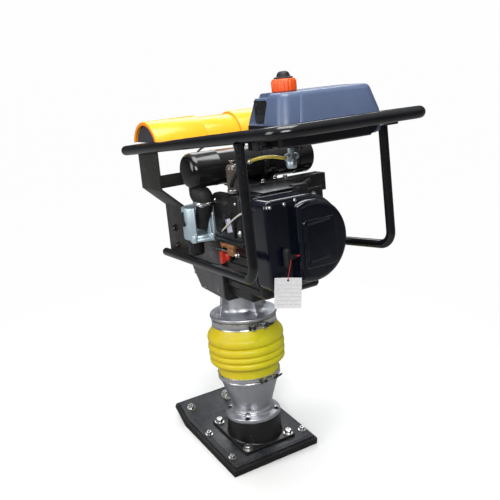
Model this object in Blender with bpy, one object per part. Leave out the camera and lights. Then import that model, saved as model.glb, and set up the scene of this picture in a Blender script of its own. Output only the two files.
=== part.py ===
"""Tamping rammer (jumping jack), metres, +Z up, +Y the way it travels, +X the operator's right.

The sole lies flat on z = 0 and the leg axis meets the floor at the origin. Everything above
the shoe leans forward with the leg, so it is drawn in the leg frame (x, y, z along the leg)
and set into the world by LEG. Run with: blender --background --python part.py
"""

import math

import bmesh
import bpy
from mathutils import Matrix, Vector

# ---------------------------------------------------------------- driving dimensions
LEAN = 0.165
GAP = 0.0003
FIT = 0.0005

SHOE_HALF = 0.1425
SHOE_REAR = -0.111
SHOE_FOLD = 0.176
LIP_END_Y = 0.242
LIP_END_Z = 0.034
BOARD_THICK = 0.020
PLATE_THICK = 0.007
BASE_HALF_X = 0.085
BASE_HALF_Y = 0.094
BASE_Y = 0.015
BASE_THICK = 0.010
FOOT_BOLT_X = 0.070
FOOT_BOLT_Y = 0.079

BOSS_RADIUS = 0.0785
BOSS_TOP = 0.0935
CONE_TOP = 0.235
CONE_SEAT_RADIUS = 0.0845
CYLINDER_OUTER = 0.047
CYLINDER_INNER = 0.040
CYLINDER_TOP = 0.425
ROD_RADIUS = 0.0115
WRIST_Z = 0.487
CONROD_LENGTH = 0.1155
CRANK_THROW = 0.0325

GUIDE_OUTER = 0.053
FLANGE_RADIUS = 0.096
FLANGE_LOW = 0.400
FLANGE_TOP = 0.408
UPPER_SEAT_RADIUS = 0.0875

CASE_HALF = 0.094
CASE_WALL = 0.0085
CASE_REAR = -0.068
GEAR_Z = WRIST_Z + CONROD_LENGTH - CRANK_THROW
GEAR_TEETH = 48
PINION_TEETH = 12
GEAR_MODULE = 0.00298
SHAFT_Z = GEAR_Z + 0.5 * GEAR_MODULE * (GEAR_TEETH + PINION_TEETH)

LOOP_HALF = 0.1985
LOOP_TUBE = 0.0135
LOOP_FRONT = (0.234, 0.878)
LOOP_REAR = (-0.548, 0.943)
GUARD_TUBE = 0.0112
GUARD_X = 0.2005
GUARD_Y = -0.398
GUARD_Z = 0.619
GUARD_RAKE = 0.011
STRAP_REAR = 0.030
STRAP_FRONT = 0.147
STRAP_THICK = 0.005
STRAP_UPPER_X = 0.1915
STRAP_LOWER_X = 0.1285

TANK_LOW = (-0.158, -0.503, 0.9075)
TANK_HIGH = (0.112, -0.360, 1.0145)
CAP_X = -0.092
CAP_Y = -0.424

LEG = Matrix.Rotation(-LEAN, 4, "X")
FLAT = Matrix.Identity(4)
PAINT = {}


# ---------------------------------------------------------------- building blocks
def paint(name, colour, roughness, metallic=0.0):
    if name not in PAINT:
        mat = bpy.data.materials.new(name)
        mat.use_nodes = True
        mat.diffuse_color = (*colour, 1.0)
        shader = mat.node_tree.nodes["Principled BSDF"]
        shader.inputs["Base Color"].default_value = (*colour, 1.0)
        shader.inputs["Roughness"].default_value = roughness
        shader.inputs["Metallic"].default_value = metallic
        PAINT[name] = mat
    return PAINT[name]


def as_object(bm, name="blank"):
    bmesh.ops.recalc_face_normals(bm, faces=bm.faces)
    mesh = bpy.data.meshes.new(name)
    bm.to_mesh(mesh)
    bm.free()
    obj = bpy.data.objects.new(name, mesh)
    bpy.context.scene.collection.objects.link(obj)
    return obj


def combine(target, others, operation):
    """Joins or cuts target with each other object, and removes the others."""
    for other in others:
        modifier = target.modifiers.new("combine", "BOOLEAN")
        modifier.operation = operation
        modifier.solver = "EXACT"
        modifier.object = other
        bpy.context.view_layer.update()
        graph = bpy.context.evaluated_depsgraph_get()
        mesh = bpy.data.meshes.new_from_object(target.evaluated_get(graph))
        target.modifiers.clear()
        target.data = mesh
        bpy.data.objects.remove(other)
    return target


def unite(target, *others):
    return combine(target, others, "UNION")


def cut(target, *others):
    return combine(target, others, "DIFFERENCE")


def publish(obj, name, mat, frame=LEG, pivot=(0.0, 0.0, 0.0), sharp=32.0):
    """Names the solid, moves its origin to pivot and sets it into the world."""
    obj.name = name
    obj.data.name = name
    obj.data.transform(Matrix.Translation(-Vector(pivot)))
    obj.matrix_world = frame @ Matrix.Translation(pivot)
    obj.data.materials.clear()
    obj.data.materials.append(mat)
    obj.data.shade_smooth()
    obj.data.set_sharp_from_angle(angle=math.radians(sharp))
    return obj


def box(low, high, bevel=0.0, segments=1):
    bm = bmesh.new()
    bmesh.ops.create_cube(bm, size=1.0)
    size = [h - l for l, h in zip(low, high)]
    middle = [(h + l) / 2 for l, h in zip(low, high)]
    bmesh.ops.scale(bm, vec=size, verts=bm.verts)
    bmesh.ops.translate(bm, vec=middle, verts=bm.verts)
    if bevel:
        bmesh.ops.bevel(bm, geom=bm.edges[:], offset=bevel, segments=segments,
                        affect="EDGES", profile=0.5)
    return as_object(bm)


def turned(profile, origin=(0, 0, 0), direction=(0, 0, 1), segments=32):
    """A solid of revolution from a closed (radius, height) outline."""
    bm = bmesh.new()
    rings = []
    for radius, height in profile:
        if radius < 1e-6:
            rings.append([bm.verts.new((0, 0, height))])
            continue
        ring = []
        for i in range(segments):
            a = math.tau * i / segments
            ring.append(bm.verts.new((radius * math.cos(a), radius * math.sin(a), height)))
        rings.append(ring)
    for one, two in zip(rings, rings[1:] + rings[:1]):
        for i in range(segments):
            j = (i + 1) % segments
            corners = [one[i % len(one)], one[j % len(one)], two[j % len(two)], two[i % len(two)]]
            corners = list(dict.fromkeys(corners))
            if len(corners) > 2:
                bm.faces.new(corners)
    turn = Vector((0, 0, 1)).rotation_difference(Vector(direction)).to_matrix().to_4x4()
    bm.transform(Matrix.Translation(origin) @ turn)
    return as_object(bm)


def rod(start, end, radius, segments=16, bore=0.0):
    """A round bar, or with a bore a plain bush, between two points."""
    line = Vector(end) - Vector(start)
    length = line.length
    inner = [(bore, 0), (bore, length)] if bore else [(0, 0), (0, length)]
    profile = [inner[0], (radius, 0), (radius, length), inner[1]]
    return turned(profile, start, line.normalized(), segments)


def prism(outline, low, high, axis="X"):
    """A flat outline pushed out along one axis of its frame."""
    bm = bmesh.new()
    ends = []
    for depth in (low, high):
        ring = []
        for u, v in outline:
            point = {"X": (depth, u, v), "Y": (u, depth, v), "Z": (u, v, depth)}[axis]
            ring.append(bm.verts.new(point))
        ends.append(ring)
        bm.faces.new(ring)
    count = len(outline)
    for i in range(count):
        j = (i + 1) % count
        bm.faces.new((ends[0][i], ends[0][j], ends[1][j], ends[1][i]))
    return as_object(bm)


def arc(centre, radius, start, end, steps):
    """Points of an arc in a plane, angles in degrees."""
    points = []
    for i in range(steps + 1):
        a = math.radians(start + (end - start) * i / steps)
        points.append((centre[0] + radius * math.cos(a), centre[1] + radius * math.sin(a)))
    return points


def rounded_path(points, radii, steps=5, closed=False):
    """A polyline with each corner replaced by an arc of its own radius."""
    points = [Vector(p) for p in points]
    count = len(points)
    path = []
    for i, here in enumerate(points):
        if not closed and i in (0, count - 1):
            path.append(here)
            continue
        back = (points[i - 1] - here).normalized()
        ahead = (points[(i + 1) % count] - here).normalized()
        half = 0.5 * back.angle(ahead)
        reach = radii[i] / math.tan(half)
        middle = here + (back + ahead).normalized() * (radii[i] / math.sin(half))
        first = here + back * reach - middle
        last = here + ahead * reach - middle
        sweep = first.angle(last)
        for k in range(steps + 1):
            t = k / steps
            blend = first * math.sin((1 - t) * sweep) + last * math.sin(t * sweep)
            path.append(middle + blend / math.sin(sweep))
    return path


def tube(path, radius, sides=12, closed=False):
    """A round bar that follows a path without twisting."""
    bm = bmesh.new()
    count = len(path)
    rings = []
    normal = None
    for i, here in enumerate(path):
        before = path[i - 1] if closed or i else here
        after = path[(i + 1) % count] if closed or i < count - 1 else here
        tangent = (after - before).normalized()
        if normal is None:
            normal = tangent.orthogonal().normalized()
        normal = (normal - tangent * normal.dot(tangent)).normalized()
        side = tangent.cross(normal)
        ring = []
        for k in range(sides):
            a = math.tau * k / sides
            offset = normal * math.cos(a) + side * math.sin(a)
            ring.append(bm.verts.new(here + offset * radius))
        rings.append(ring)
    pairs = list(zip(rings, rings[1:]))
    if closed:
        pairs.append((rings[-1], rings[0]))
    for one, two in pairs:
        shift = 0
        if closed and one is rings[-1]:
            shift = min(range(sides), key=lambda s: (one[0].co - two[s].co).length)
        for k in range(sides):
            m = (k + 1) % sides
            bm.faces.new((one[k], one[m], two[(m + shift) % sides], two[(k + shift) % sides]))
    if not closed:
        bm.faces.new(rings[0])
        bm.faces.new(rings[-1])
    return as_object(bm)


def stacked(rings):
    bm = bmesh.new()
    loops = [[bm.verts.new(p) for p in ring] for ring in rings]
    bm.faces.new(loops[0])
    bm.faces.new(loops[-1])
    for one, two in zip(loops, loops[1:]):
        for i in range(len(one)):
            j = (i + 1) % len(one)
            bm.faces.new((one[i], one[j], two[j], two[i]))
    return as_object(bm)


def coil(low, high, radius, wire, turns, sides=6, steps=10):
    path = []
    for i in range(turns * steps + 1):
        a = math.tau * i / steps
        t = i / (turns * steps)
        height = low + wire + (high - low - 2 * wire) * t
        path.append(Vector((radius * math.cos(a), radius * math.sin(a), height)))
    return tube(path, wire, sides)


def gear_outline(teeth, module, centre):
    """Plain straight-flanked teeth, thinned a little so that a pair never touches."""
    pitch = 0.5 * teeth * module
    root = pitch - 1.2 * module
    tip = pitch + 0.85 * module
    points = []
    for i in range(teeth):
        for radius, part in ((root, -0.30), (tip, -0.13), (tip, 0.13), (root, 0.30)):
            a = math.tau * (i + part) / teeth
            points.append((centre[0] + radius * math.sin(a), centre[1] + radius * math.cos(a)))
    return points


def hexagon(across_flats, centre=(0, 0)):
    radius = across_flats / math.sqrt(3)
    return arc(centre, radius, 0, 300, 5)


def mirrored(values):
    return [(-x, y) for x, y in values]


def leg_point(x, y, z):
    return LEG @ Vector((x, y, z))


for old in list(bpy.data.objects):
    bpy.data.objects.remove(old)

BLACK_PAINT = paint("black_paint", (0.012, 0.012, 0.014), 0.30)
SATIN_BLACK = paint("satin_black", (0.018, 0.018, 0.020), 0.50)
GREY_PAINT = paint("grey_paint", (0.10, 0.10, 0.11), 0.45)
RUBBER = paint("rubber", (0.015, 0.015, 0.015), 0.75)
ALUMINIUM = paint("aluminium", (0.55, 0.56, 0.60), 0.38, 1.0)
STEEL = paint("steel", (0.50, 0.50, 0.50), 0.30, 1.0)
CARB_METAL = paint("carburettor_metal", (0.60, 0.66, 0.68), 0.35, 1.0)
YELLOW_BOOT = paint("yellow_boot", (0.86, 0.74, 0.03), 0.45)
YELLOW_HOOD = paint("yellow_hood", (1.0, 0.52, 0.02), 0.35)
SLATE_PLASTIC = paint("slate_plastic", (0.10, 0.13, 0.20), 0.40)
ORANGE_PLASTIC = paint("orange_plastic", (0.90, 0.16, 0.01), 0.40)
RED_PLASTIC = paint("red_plastic", (0.70, 0.05, 0.03), 0.40)
GLOSS_BLUE_BLACK = paint("gloss_black", (0.010, 0.013, 0.025), 0.12)
CLEAR_PLASTIC = paint("clear_plastic", (0.45, 0.50, 0.55), 0.20)
HOSE_PLASTIC = paint("hose_plastic", (0.60, 0.55, 0.15), 0.30)
PAPER = paint("paper", (0.90, 0.90, 0.90), 0.80)
RED_STRING = paint("red_string", (0.60, 0.03, 0.04), 0.80)


# ---------------------------------------------------------------- shoe and foot
def shoe_outline(low, high, inset):
    """Side outline of a shoe layer between two heights above the sole."""
    slope = math.atan2(LIP_END_Z, LIP_END_Y - SHOE_FOLD)
    bend = math.tan(slope / 2)
    rise = Vector((-math.sin(slope), math.cos(slope)))
    along = Vector((math.cos(slope), math.sin(slope)))
    end = Vector((LIP_END_Y, LIP_END_Z)) - along * inset
    low_end = end + rise * low
    high_end = end + rise * high
    rear = SHOE_REAR + inset
    return [(rear, low), (SHOE_FOLD - bend * low, low), tuple(low_end),
            tuple(high_end), (SHOE_FOLD - bend * high, high), (rear, high)]


BOARD_TOP = BOARD_THICK
PLATE_LOW = BOARD_TOP + GAP
PLATE_TOP = PLATE_LOW + PLATE_THICK
BASE_LOW = PLATE_TOP + GAP
BASE_TOP = BASE_LOW + BASE_THICK
FOOT_BOLTS = {
    "foot_bolt_rear_left": (-FOOT_BOLT_X, BASE_Y - FOOT_BOLT_Y),
    "foot_bolt_rear_right": (FOOT_BOLT_X, BASE_Y - FOOT_BOLT_Y),
    "foot_bolt_front_left": (-FOOT_BOLT_X, BASE_Y + FOOT_BOLT_Y),
    "foot_bolt_front_right": (FOOT_BOLT_X, BASE_Y + FOOT_BOLT_Y),
}


def bolt_holes():
    holes = []
    for x, y in FOOT_BOLTS.values():
        holes.append(rod((x, y, 0.006), (x, y, 0.06), 0.0072, 12))
    return holes


board = prism(shoe_outline(0.0, BOARD_TOP, 0.0), -SHOE_HALF, SHOE_HALF)
publish(cut(board, *bolt_holes()), "shoe_board", RUBBER, FLAT)

plate = prism(shoe_outline(PLATE_LOW, PLATE_TOP, 0.007), 0.007 - SHOE_HALF, SHOE_HALF - 0.007)
publish(cut(plate, *bolt_holes()), "shoe_plate", SATIN_BLACK, FLAT)

base = box((-BASE_HALF_X, BASE_Y - BASE_HALF_Y, BASE_LOW),
           (BASE_HALF_X, BASE_Y + BASE_HALF_Y, BASE_TOP))
boss = rod((0, 0, -0.02), (0, 0, BOSS_TOP), BOSS_RADIUS, 36)
boss.data.transform(LEG)
below = box((-0.2, -0.2, -0.2), (0.2, 0.2, BASE_LOW))
casting = unite(base, cut(boss, below))
publish(cut(casting, *bolt_holes()), "foot_casting", SATIN_BLACK, FLAT)

for name, (x, y) in FOOT_BOLTS.items():
    head = prism(hexagon(0.019, (x, y)), BASE_TOP + 0.0028, BASE_TOP + 0.0125, "Z")
    washer = rod((x, y, BASE_TOP + GAP), (x, y, BASE_TOP + 0.003), 0.014, 16)
    shank = rod((x, y, 0.0085), (x, y, BASE_TOP + 0.004), 0.0065, 12)
    publish(unite(head, washer, shank), name, STEEL, FLAT, (x, y, BASE_TOP))

# ---------------------------------------------------------------- leg, inside and out
SLEEVE_LOW = BOSS_TOP + GAP
sleeve = turned([(CYLINDER_OUTER + FIT, SLEEVE_LOW), (0.0795, SLEEVE_LOW), (0.0795, 0.1045),
                 (0.0600, 0.1110), (0.0545, 0.1230), (CONE_SEAT_RADIUS + 0.001, 0.212),
                 (CONE_SEAT_RADIUS, 0.2125), (CONE_SEAT_RADIUS, CONE_TOP),
                 (0.0795, CONE_TOP), (0.0795, 0.208), (0.0505, 0.1250),
                 (CYLINDER_OUTER + FIT, 0.1200)], segments=32)
publish(sleeve, "cone_sleeve", ALUMINIUM)

cylinder = turned([(0, SLEEVE_LOW), (CYLINDER_OUTER, SLEEVE_LOW), (CYLINDER_OUTER, CYLINDER_TOP),
                   (ROD_RADIUS + 0.001, CYLINDER_TOP), (ROD_RADIUS + 0.001, CYLINDER_TOP - 0.010),
                   (CYLINDER_INNER, CYLINDER_TOP - 0.010), (CYLINDER_INNER, 0.104),
                   (0, 0.104)], segments=28)
publish(cylinder, "spring_cylinder", STEEL)

PISTON_LOW = 0.236
PISTON_TOP = 0.262
publish(coil(0.1045, PISTON_LOW - FIT, 0.0325, 0.0045, 6), "lower_spring", STEEL)
publish(coil(PISTON_TOP + FIT, CYLINDER_TOP - 0.0105, 0.0285, 0.0045, 6), "upper_spring", STEEL)

fork = box((-0.0125, -0.0128, 0.466), (0.0125, 0.0128, WRIST_Z + 0.0125))
slot = box((-0.02, -0.0088, 0.4705), (0.02, 0.0088, 0.52))
eye = rod((0, -0.02, WRIST_Z), (0, 0.02, WRIST_Z), 0.0072, 16)
shaft = rod((0, 0, PISTON_LOW + 0.002), (0, 0, 0.469), ROD_RADIUS, 20)
piston = rod((0, 0, PISTON_LOW), (0, 0, PISTON_TOP), CYLINDER_INNER - 0.0012, 28)
publish(cut(unite(fork, shaft, piston), slot, eye), "piston_rod", STEEL)
publish(rod((0, -0.0126, WRIST_Z), (0, 0.0126, WRIST_Z), 0.0068, 16), "wrist_pin", STEEL)

BIG_END_Z = WRIST_Z + CONROD_LENGTH
small_end = rod((0, -0.008, WRIST_Z), (0, 0.008, WRIST_Z), 0.0125, 24)
big_end = rod((0, -0.008, BIG_END_Z), (0, 0.008, BIG_END_Z), 0.020, 28)
web = box((-0.0075, -0.0055, WRIST_Z + 0.004), (0.0075, 0.0055, BIG_END_Z - 0.012))
conrod = unite(web, small_end, big_end)
conrod = cut(conrod, rod((0, -0.02, WRIST_Z), (0, 0.02, WRIST_Z), 0.0072, 20),
             rod((0, -0.02, BIG_END_Z), (0, 0.02, BIG_END_Z), 0.0125, 24))
publish(conrod, "connecting_rod", STEEL, LEG, (0, 0, WRIST_Z))

FOLDS = ((0.340, 0.1092, 0.0135), (0.3145, 0.1100, 0.0085), (0.2930, 0.1095, 0.0078),
         (0.2735, 0.1085, 0.0078))
WALL = 0.0027
outer = [(0.0905, 0.3960), (0.0905, 0.3730)]
for height, radius, reach in FOLDS:
    outer += [(radius - 0.003, height + reach * 0.6), (radius, height),
              (radius - 0.003, height - reach * 0.6), (radius - 0.0075, height - reach * 1.12)]
outer[-1] = (0.0935, 0.2610)
outer += [(0.0895, 0.2545), (0.0875, 0.2400), (0.0875, 0.2140)]
inner = [(CONE_SEAT_RADIUS + GAP, 0.2140), (CONE_SEAT_RADIUS + GAP, 0.2400)]
inner += [(0.0935 - WALL, 0.2640), (0.1045 - WALL, 0.2750), (0.1045 - WALL, 0.3400),
          (UPPER_SEAT_RADIUS + GAP, 0.3640), (UPPER_SEAT_RADIUS + GAP, 0.3960)]
publish(turned(outer + inner, segments=32), "bellows", YELLOW_BOOT)


def band_clamp(name, low, high, inner_radius, facing):
    band = rod((0, 0, low), (0, 0, high), inner_radius + 0.0016, 32, inner_radius)
    turn = Matrix.Rotation(math.radians(facing), 4, "Z")
    block = box((inner_radius + 0.0008, -0.027, low + 0.002),
                (inner_radius + 0.0105, 0.027, high - 0.002))
    block.data.transform(turn)
    publish(unite(band, block), name, STEEL)


band_clamp("lower_band_clamp", 0.2165, 0.2325, 0.0878, -85)
band_clamp("upper_band_clamp", 0.3750, 0.3950, 0.0908, -96)

# ---------------------------------------------------------------- guide cylinder and crankcase
NECK_TOP = 0.4765
guide = turned([(CYLINDER_OUTER + FIT, 0.300), (0.0525, 0.300), (0.0525, 0.370),
                (0.0800, 0.390), (0.0815, 0.364), (UPPER_SEAT_RADIUS, 0.364),
                (UPPER_SEAT_RADIUS, FLANGE_LOW), (FLANGE_RADIUS, FLANGE_LOW + 0.001),
                (FLANGE_RADIUS, FLANGE_TOP - 0.003), (0.0925, FLANGE_TOP),
                (0.0640, 0.4150), (GUIDE_OUTER, 0.4230), (GUIDE_OUTER, NECK_TOP),
                (CYLINDER_OUTER + FIT, NECK_TOP)], segments=32)
for quarter in range(4):
    rib = prism([(0.0500, 0.402), (0.0790, 0.402), (0.0770, 0.4130), (0.0650, NECK_TOP),
                 (0.0500, NECK_TOP)], -0.0055, 0.0055)
    rib.data.transform(Matrix.Rotation(math.radians(90 * quarter), 4, "Z"))
    guide = unite(guide, rib)
publish(guide, "guide_cylinder", ALUMINIUM)

CASE_OUTLINE = [(CASE_REAR, 0.4770), (0.056, 0.4865), (0.094, 0.536), (0.122, 0.600),
                (0.122, 0.668), (0.104, 0.698), (CASE_REAR, 0.705)]
CAVITY = [(-0.100, 0.4850), (0.0505, 0.4950), (0.0860, 0.541), (0.1135, 0.602),
          (0.1135, 0.664), (0.099, 0.6895), (-0.100, 0.6965)]
case = prism(CASE_OUTLINE, -CASE_HALF, CASE_HALF)
cavity = prism(CAVITY, CASE_WALL - CASE_HALF, CASE_HALF - CASE_WALL)
opening = rod((0, 0, 0.45), (0, 0, 0.51), 0.0500, 28)
publish(cut(case, cavity, opening), "crankcase", GREY_PAINT)

COVER_FRONT = CASE_REAR - GAP
COVER_REAR = COVER_FRONT - 0.0075
cover_outline = [(-CASE_HALF, 0.482), (-0.085, 0.4725), (0.085, 0.4725), (CASE_HALF, 0.482),
                 (CASE_HALF, 0.697), (0.085, 0.705), (-0.085, 0.705), (-CASE_HALF, 0.697)]
cover = prism(cover_outline, COVER_REAR, COVER_FRONT, "Y")
hub = rod((0, COVER_FRONT - 0.002, GEAR_Z), (0, -0.052, GEAR_Z), 0.0275, 28)
cover = unite(cover, hub)
cover = cut(cover, rod((0, -0.0665, GEAR_Z), (0, -0.045, GEAR_Z), 0.0131, 28),
            rod((0, -0.10, SHAFT_Z), (0, -0.04, SHAFT_Z), 0.0150, 20))
publish(cover, "crankcase_cover", SATIN_BLACK)

wheel = prism(gear_outline(GEAR_TEETH, GEAR_MODULE, (0, GEAR_Z)), -0.030, -0.014, "Y")
axle = rod((0, -0.0655, GEAR_Z), (0, -0.020, GEAR_Z), 0.0125, 24)
crank_pin = rod((0, -0.016, GEAR_Z + CRANK_THROW), (0, -0.0093, GEAR_Z + CRANK_THROW), 0.0115, 20)
publish(unite(wheel, axle, crank_pin), "crank_gear", STEEL, LEG, (0, 0, GEAR_Z))

half_tooth = math.pi / PINION_TEETH
pinion = prism(gear_outline(PINION_TEETH, GEAR_MODULE, (0, 0)), -0.030, -0.014, "Y")
pinion.data.transform(Matrix.Rotation(half_tooth, 4, "Y"))
pinion.data.transform(Matrix.Translation((0, 0, SHAFT_Z)))
drum = turned([(0, 0), (0.033, 0), (0.033, 0.024), (0.0295, 0.024), (0.0295, 0.004), (0, 0.004)],
              (0, -0.0385, SHAFT_Z), (0, -1, 0), 24)
neck = rod((0, -0.040, SHAFT_Z), (0, -0.022, SHAFT_Z), 0.0100, 20)
publish(unite(drum, neck, pinion), "clutch_drum", STEEL, LEG, (0, 0, SHAFT_Z))

# ---------------------------------------------------------------- engine
BLOCK_FRONT = COVER_REAR - GAP
BLOCK_REAR = -0.262
block = box((-0.086, BLOCK_REAR, 0.5120), (0.086, BLOCK_FRONT, 0.700), 0.008)
foot_pad = box((-0.080, -0.190, 0.4900), (0.080, BLOCK_FRONT - 0.004, 0.5200), 0.004)
block = unite(block, foot_pad)
block = cut(block, rod((0, -0.30, SHAFT_Z), (0, -0.05, SHAFT_Z), 0.0150, 24))
publish(block, "engine_block", SATIN_BLACK)

HEAD_LOW = 0.7003
barrel = box((-0.050, -0.225, HEAD_LOW), (0.062, -0.115, 0.776), 0.006)
for level in range(5):
    height = 0.7075 + 0.0140 * level
    barrel = unite(barrel, box((-0.060, -0.236, height), (0.074, -0.104, height + 0.0045)))
publish(barrel, "cylinder_head", ALUMINIUM)

plug = turned([(0, 0), (0.0055, 0), (0.0055, 0.012), (0.0095, 0.012), (0.0095, 0.022),
               (0.0055, 0.024), (0.0045, 0.045), (0, 0.045)], (0.0765, -0.170, 0.745),
              (1, 0, 0.25), 12)
publish(plug, "spark_plug", STEEL)

LEVER_AT = (-0.1285, -0.1500, 0.6850)
shell = box((-0.1180, -0.2360, 0.6500), (-0.0865, -0.1000, 0.7750), 0.006, 2)
plate = box((-0.1240, -0.1950, 0.6620), (-0.1150, -0.1350, 0.7180))
post = rod((-0.1290, LEVER_AT[1], LEVER_AT[2]), (-0.1200, LEVER_AT[1], LEVER_AT[2]), 0.0040, 10)
publish(unite(shell, plate, post), "cylinder_shroud", SATIN_BLACK)

FAN_FRONT = -0.2625
FAN_REAR = -0.3290
FAN_MIDDLE = (0.010, SHAFT_Z)
FAN_RADIUS = 0.1095


def fan_outline(grow=0.0):
    radius = FAN_RADIUS + grow
    left = -0.106 - grow
    top = FAN_MIDDLE[1] + radius
    low = FAN_MIDDLE[1] - radius
    corner = 0.018
    points = arc(FAN_MIDDLE, radius, -90, 90, 20)
    points += arc((left + corner, top - corner), corner, 90, 180, 3)
    points += arc((left + corner, low + corner), corner, 180, 270, 3)
    return points


shroud = prism(fan_outline(), FAN_REAR, FAN_FRONT, "Y")
switch_x = FAN_MIDDLE[0] + FAN_RADIUS
switch_box = box((switch_x - 0.003, -0.3050, SHAFT_Z - 0.010),
                 (switch_x + 0.010, -0.2850, SHAFT_Z + 0.010))
shroud = unite(shroud, switch_box)
shroud = cut(shroud, box((switch_x + 0.0062, -0.3016, SHAFT_Z - 0.0066),
                         (switch_x + 0.0120, -0.2884, SHAFT_Z + 0.0066)))
shroud = cut(shroud, prism(fan_outline(-0.003), FAN_REAR + 0.003, 0.0, "Y"),
             rod((0, -0.40, SHAFT_Z), (0, -0.30, SHAFT_Z), 0.060, 32))
publish(shroud, "fan_shroud", GLOSS_BLUE_BLACK)

flywheel = rod((0, -0.3180, SHAFT_Z), (0, -0.2980, SHAFT_Z), 0.096, 32, 0.0130)
publish(flywheel, "flywheel", ALUMINIUM, LEG, (0, -0.308, SHAFT_Z))
shaft = rod((0, -0.3230, SHAFT_Z), (0, -0.0480, SHAFT_Z), 0.0125, 20)
clutch_hub = rod((0, -0.0610, SHAFT_Z), (0, -0.0480, SHAFT_Z), 0.0265, 24)
publish(unite(shaft, clutch_hub), "crankshaft", STEEL, LEG, (0, 0, SHAFT_Z))

START_FRONT = FAN_REAR - GAP
START_REAR = -0.3580


def starter_outline(grow=0.0):
    radius = 0.1000 + grow
    left = -0.0340 - grow
    start = math.degrees(math.acos((left - FAN_MIDDLE[0]) / radius))
    points = arc(FAN_MIDDLE, radius, -start, start, 24)
    return points


cover = prism(starter_outline(), START_REAR, START_FRONT, "Y")
cover = cut(cover, prism(starter_outline(-0.003), START_REAR + 0.003, 0.0, "Y"))
panel = box((-0.0230, START_REAR - 0.0055, 0.594), (0.0700, START_REAR + 0.001, 0.717), 0.004)
cover = unite(cover, panel)
CORD_Z = SHAFT_Z - 0.0285
cover = cut(cover, rod((-0.06, -0.3440, CORD_Z), (-0.02, -0.3440, CORD_Z), 0.0045, 12))
publish(cover, "starter_cover", GLOSS_BLUE_BLACK)

pulley = turned([(0.0120, -0.0080), (0.0295, -0.0080), (0.0295, -0.0055), (0.0260, -0.0030),
                 (0.0260, 0.0030), (0.0295, 0.0055), (0.0295, 0.0080), (0.0120, 0.0080)],
                (0, -0.3435, SHAFT_Z), (0, 1, 0), 24)
publish(pulley, "starter_pulley", RUBBER, LEG, (0, -0.3435, SHAFT_Z))

GRIP_X = -0.0660
grip = box((GRIP_X - 0.0080, -0.3530, CORD_Z - 0.024), (GRIP_X + 0.0080, -0.3350, CORD_Z + 0.024),
           0.005, 2)
stem = rod((GRIP_X + 0.004, -0.3440, CORD_Z), (-0.0385, -0.3440, CORD_Z), 0.0055, 12)
cord = rod((GRIP_X, -0.3440, CORD_Z), (0.0840, -0.3440, CORD_Z), 0.0022, 8)
publish(unite(grip, stem, cord), "starter_grip", RUBBER, LEG, (GRIP_X, -0.3440, CORD_Z))

muffler = box((0.0870, -0.2250, 0.5900), (0.1330, -0.1150, 0.6950), 0.010, 2)
outlet = rod((0.1200, -0.1700, 0.6100), (0.1480, -0.1700, 0.5980), 0.0090, 14)
publish(unite(muffler, outlet), "muffler", STEEL)

publish(box((switch_x + 0.0096, -0.3010, SHAFT_Z - 0.006), (switch_x + 0.0146, -0.2890, SHAFT_Z + 0.006),
            0.0012), "stop_button", RED_PLASTIC, LEG, (switch_x + 0.0096, -0.2950, SHAFT_Z))

# ---------------------------------------------------------------- fuel, air and controls
CARB = Vector((-0.1400, -0.0550, 0.6950))
ELBOW = ((0.7030, -0.1390, -0.0610, 0.0215), (0.7250, -0.1390, -0.0700, 0.0225),
         (0.7480, -0.1420, -0.0830, 0.0225), (0.7640, -0.1420, -0.0830, 0.0225),
         (0.7760, -0.1410, -0.0790, 0.0220), (0.7846, -0.1400, -0.0750, 0.0215))


def sleeve_of(stations, grow, ends=0.0):
    """A round sleeve through stations of (height, x, y, radius)."""
    rings = []
    for i, (z, x, y, radius) in enumerate(stations):
        level = z + (-ends if i == 0 else ends if i == len(stations) - 1 else 0)
        rings.append([(*p, level) for p in arc((x, y), radius + grow, 0, 342, 19)])
    return stacked(rings)


cup_wall = arc(CARB, 0.0385, -65, 235, 20) + arc(CARB, 0.0260, 235, -65, 16)
body = prism(cup_wall, 0.6600, 0.7400, "Z")
floor = rod((CARB.x, CARB.y, 0.6560), (CARB.x, CARB.y, 0.6680), 0.0380, 24)
boss_one = rod((-0.1700, -0.0860, 0.6520), (-0.1700, -0.0860, 0.6700), 0.0075, 10)
boss_two = rod((-0.1220, -0.0940, 0.6520), (-0.1220, -0.0940, 0.6700), 0.0075, 10)
flange = box((-0.1180, -0.0950, 0.6450), (-0.0945, -0.0280, 0.7250))
body = unite(body, floor, boss_one, boss_two, flange)
body = cut(body, rod((CARB.x, CARB.y, 0.6690), (CARB.x, CARB.y, 0.760), 0.0258, 24),
           sleeve_of(ELBOW, 0.0006))
publish(body, "carburettor", CARB_METAL)
publish(rod((-0.1515, CARB.y, 0.6100), (-0.1515, CARB.y, 0.6556), 0.0200, 24), "float_bowl", RUBBER)


arm = prism([(-0.1550, 0.6800), (-0.1450, 0.6780), (-0.1800, 0.7330), (-0.1880, 0.7300)],
            -0.1330, -0.1300)
ring = rod((-0.1335, LEVER_AT[1], LEVER_AT[2]), (-0.1296, LEVER_AT[1], LEVER_AT[2]), 0.0085, 14)
publish(unite(arm, ring), "governor_lever", STEEL, LEG, (-0.1315, LEVER_AT[1], LEVER_AT[2]))

CHOKE_AT = (-0.1790, -0.0550, 0.7000)
ring = rod((-0.1820, CHOKE_AT[1], CHOKE_AT[2]), (-0.1789, CHOKE_AT[1], CHOKE_AT[2]), 0.0080, 14)
arm = box((-0.1819, CHOKE_AT[1] - 0.0035, CHOKE_AT[2]), (-0.1797, CHOKE_AT[1] + 0.0035, 0.7300))
publish(unite(ring, arm), "choke_lever", STEEL, LEG, CHOKE_AT)

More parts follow.
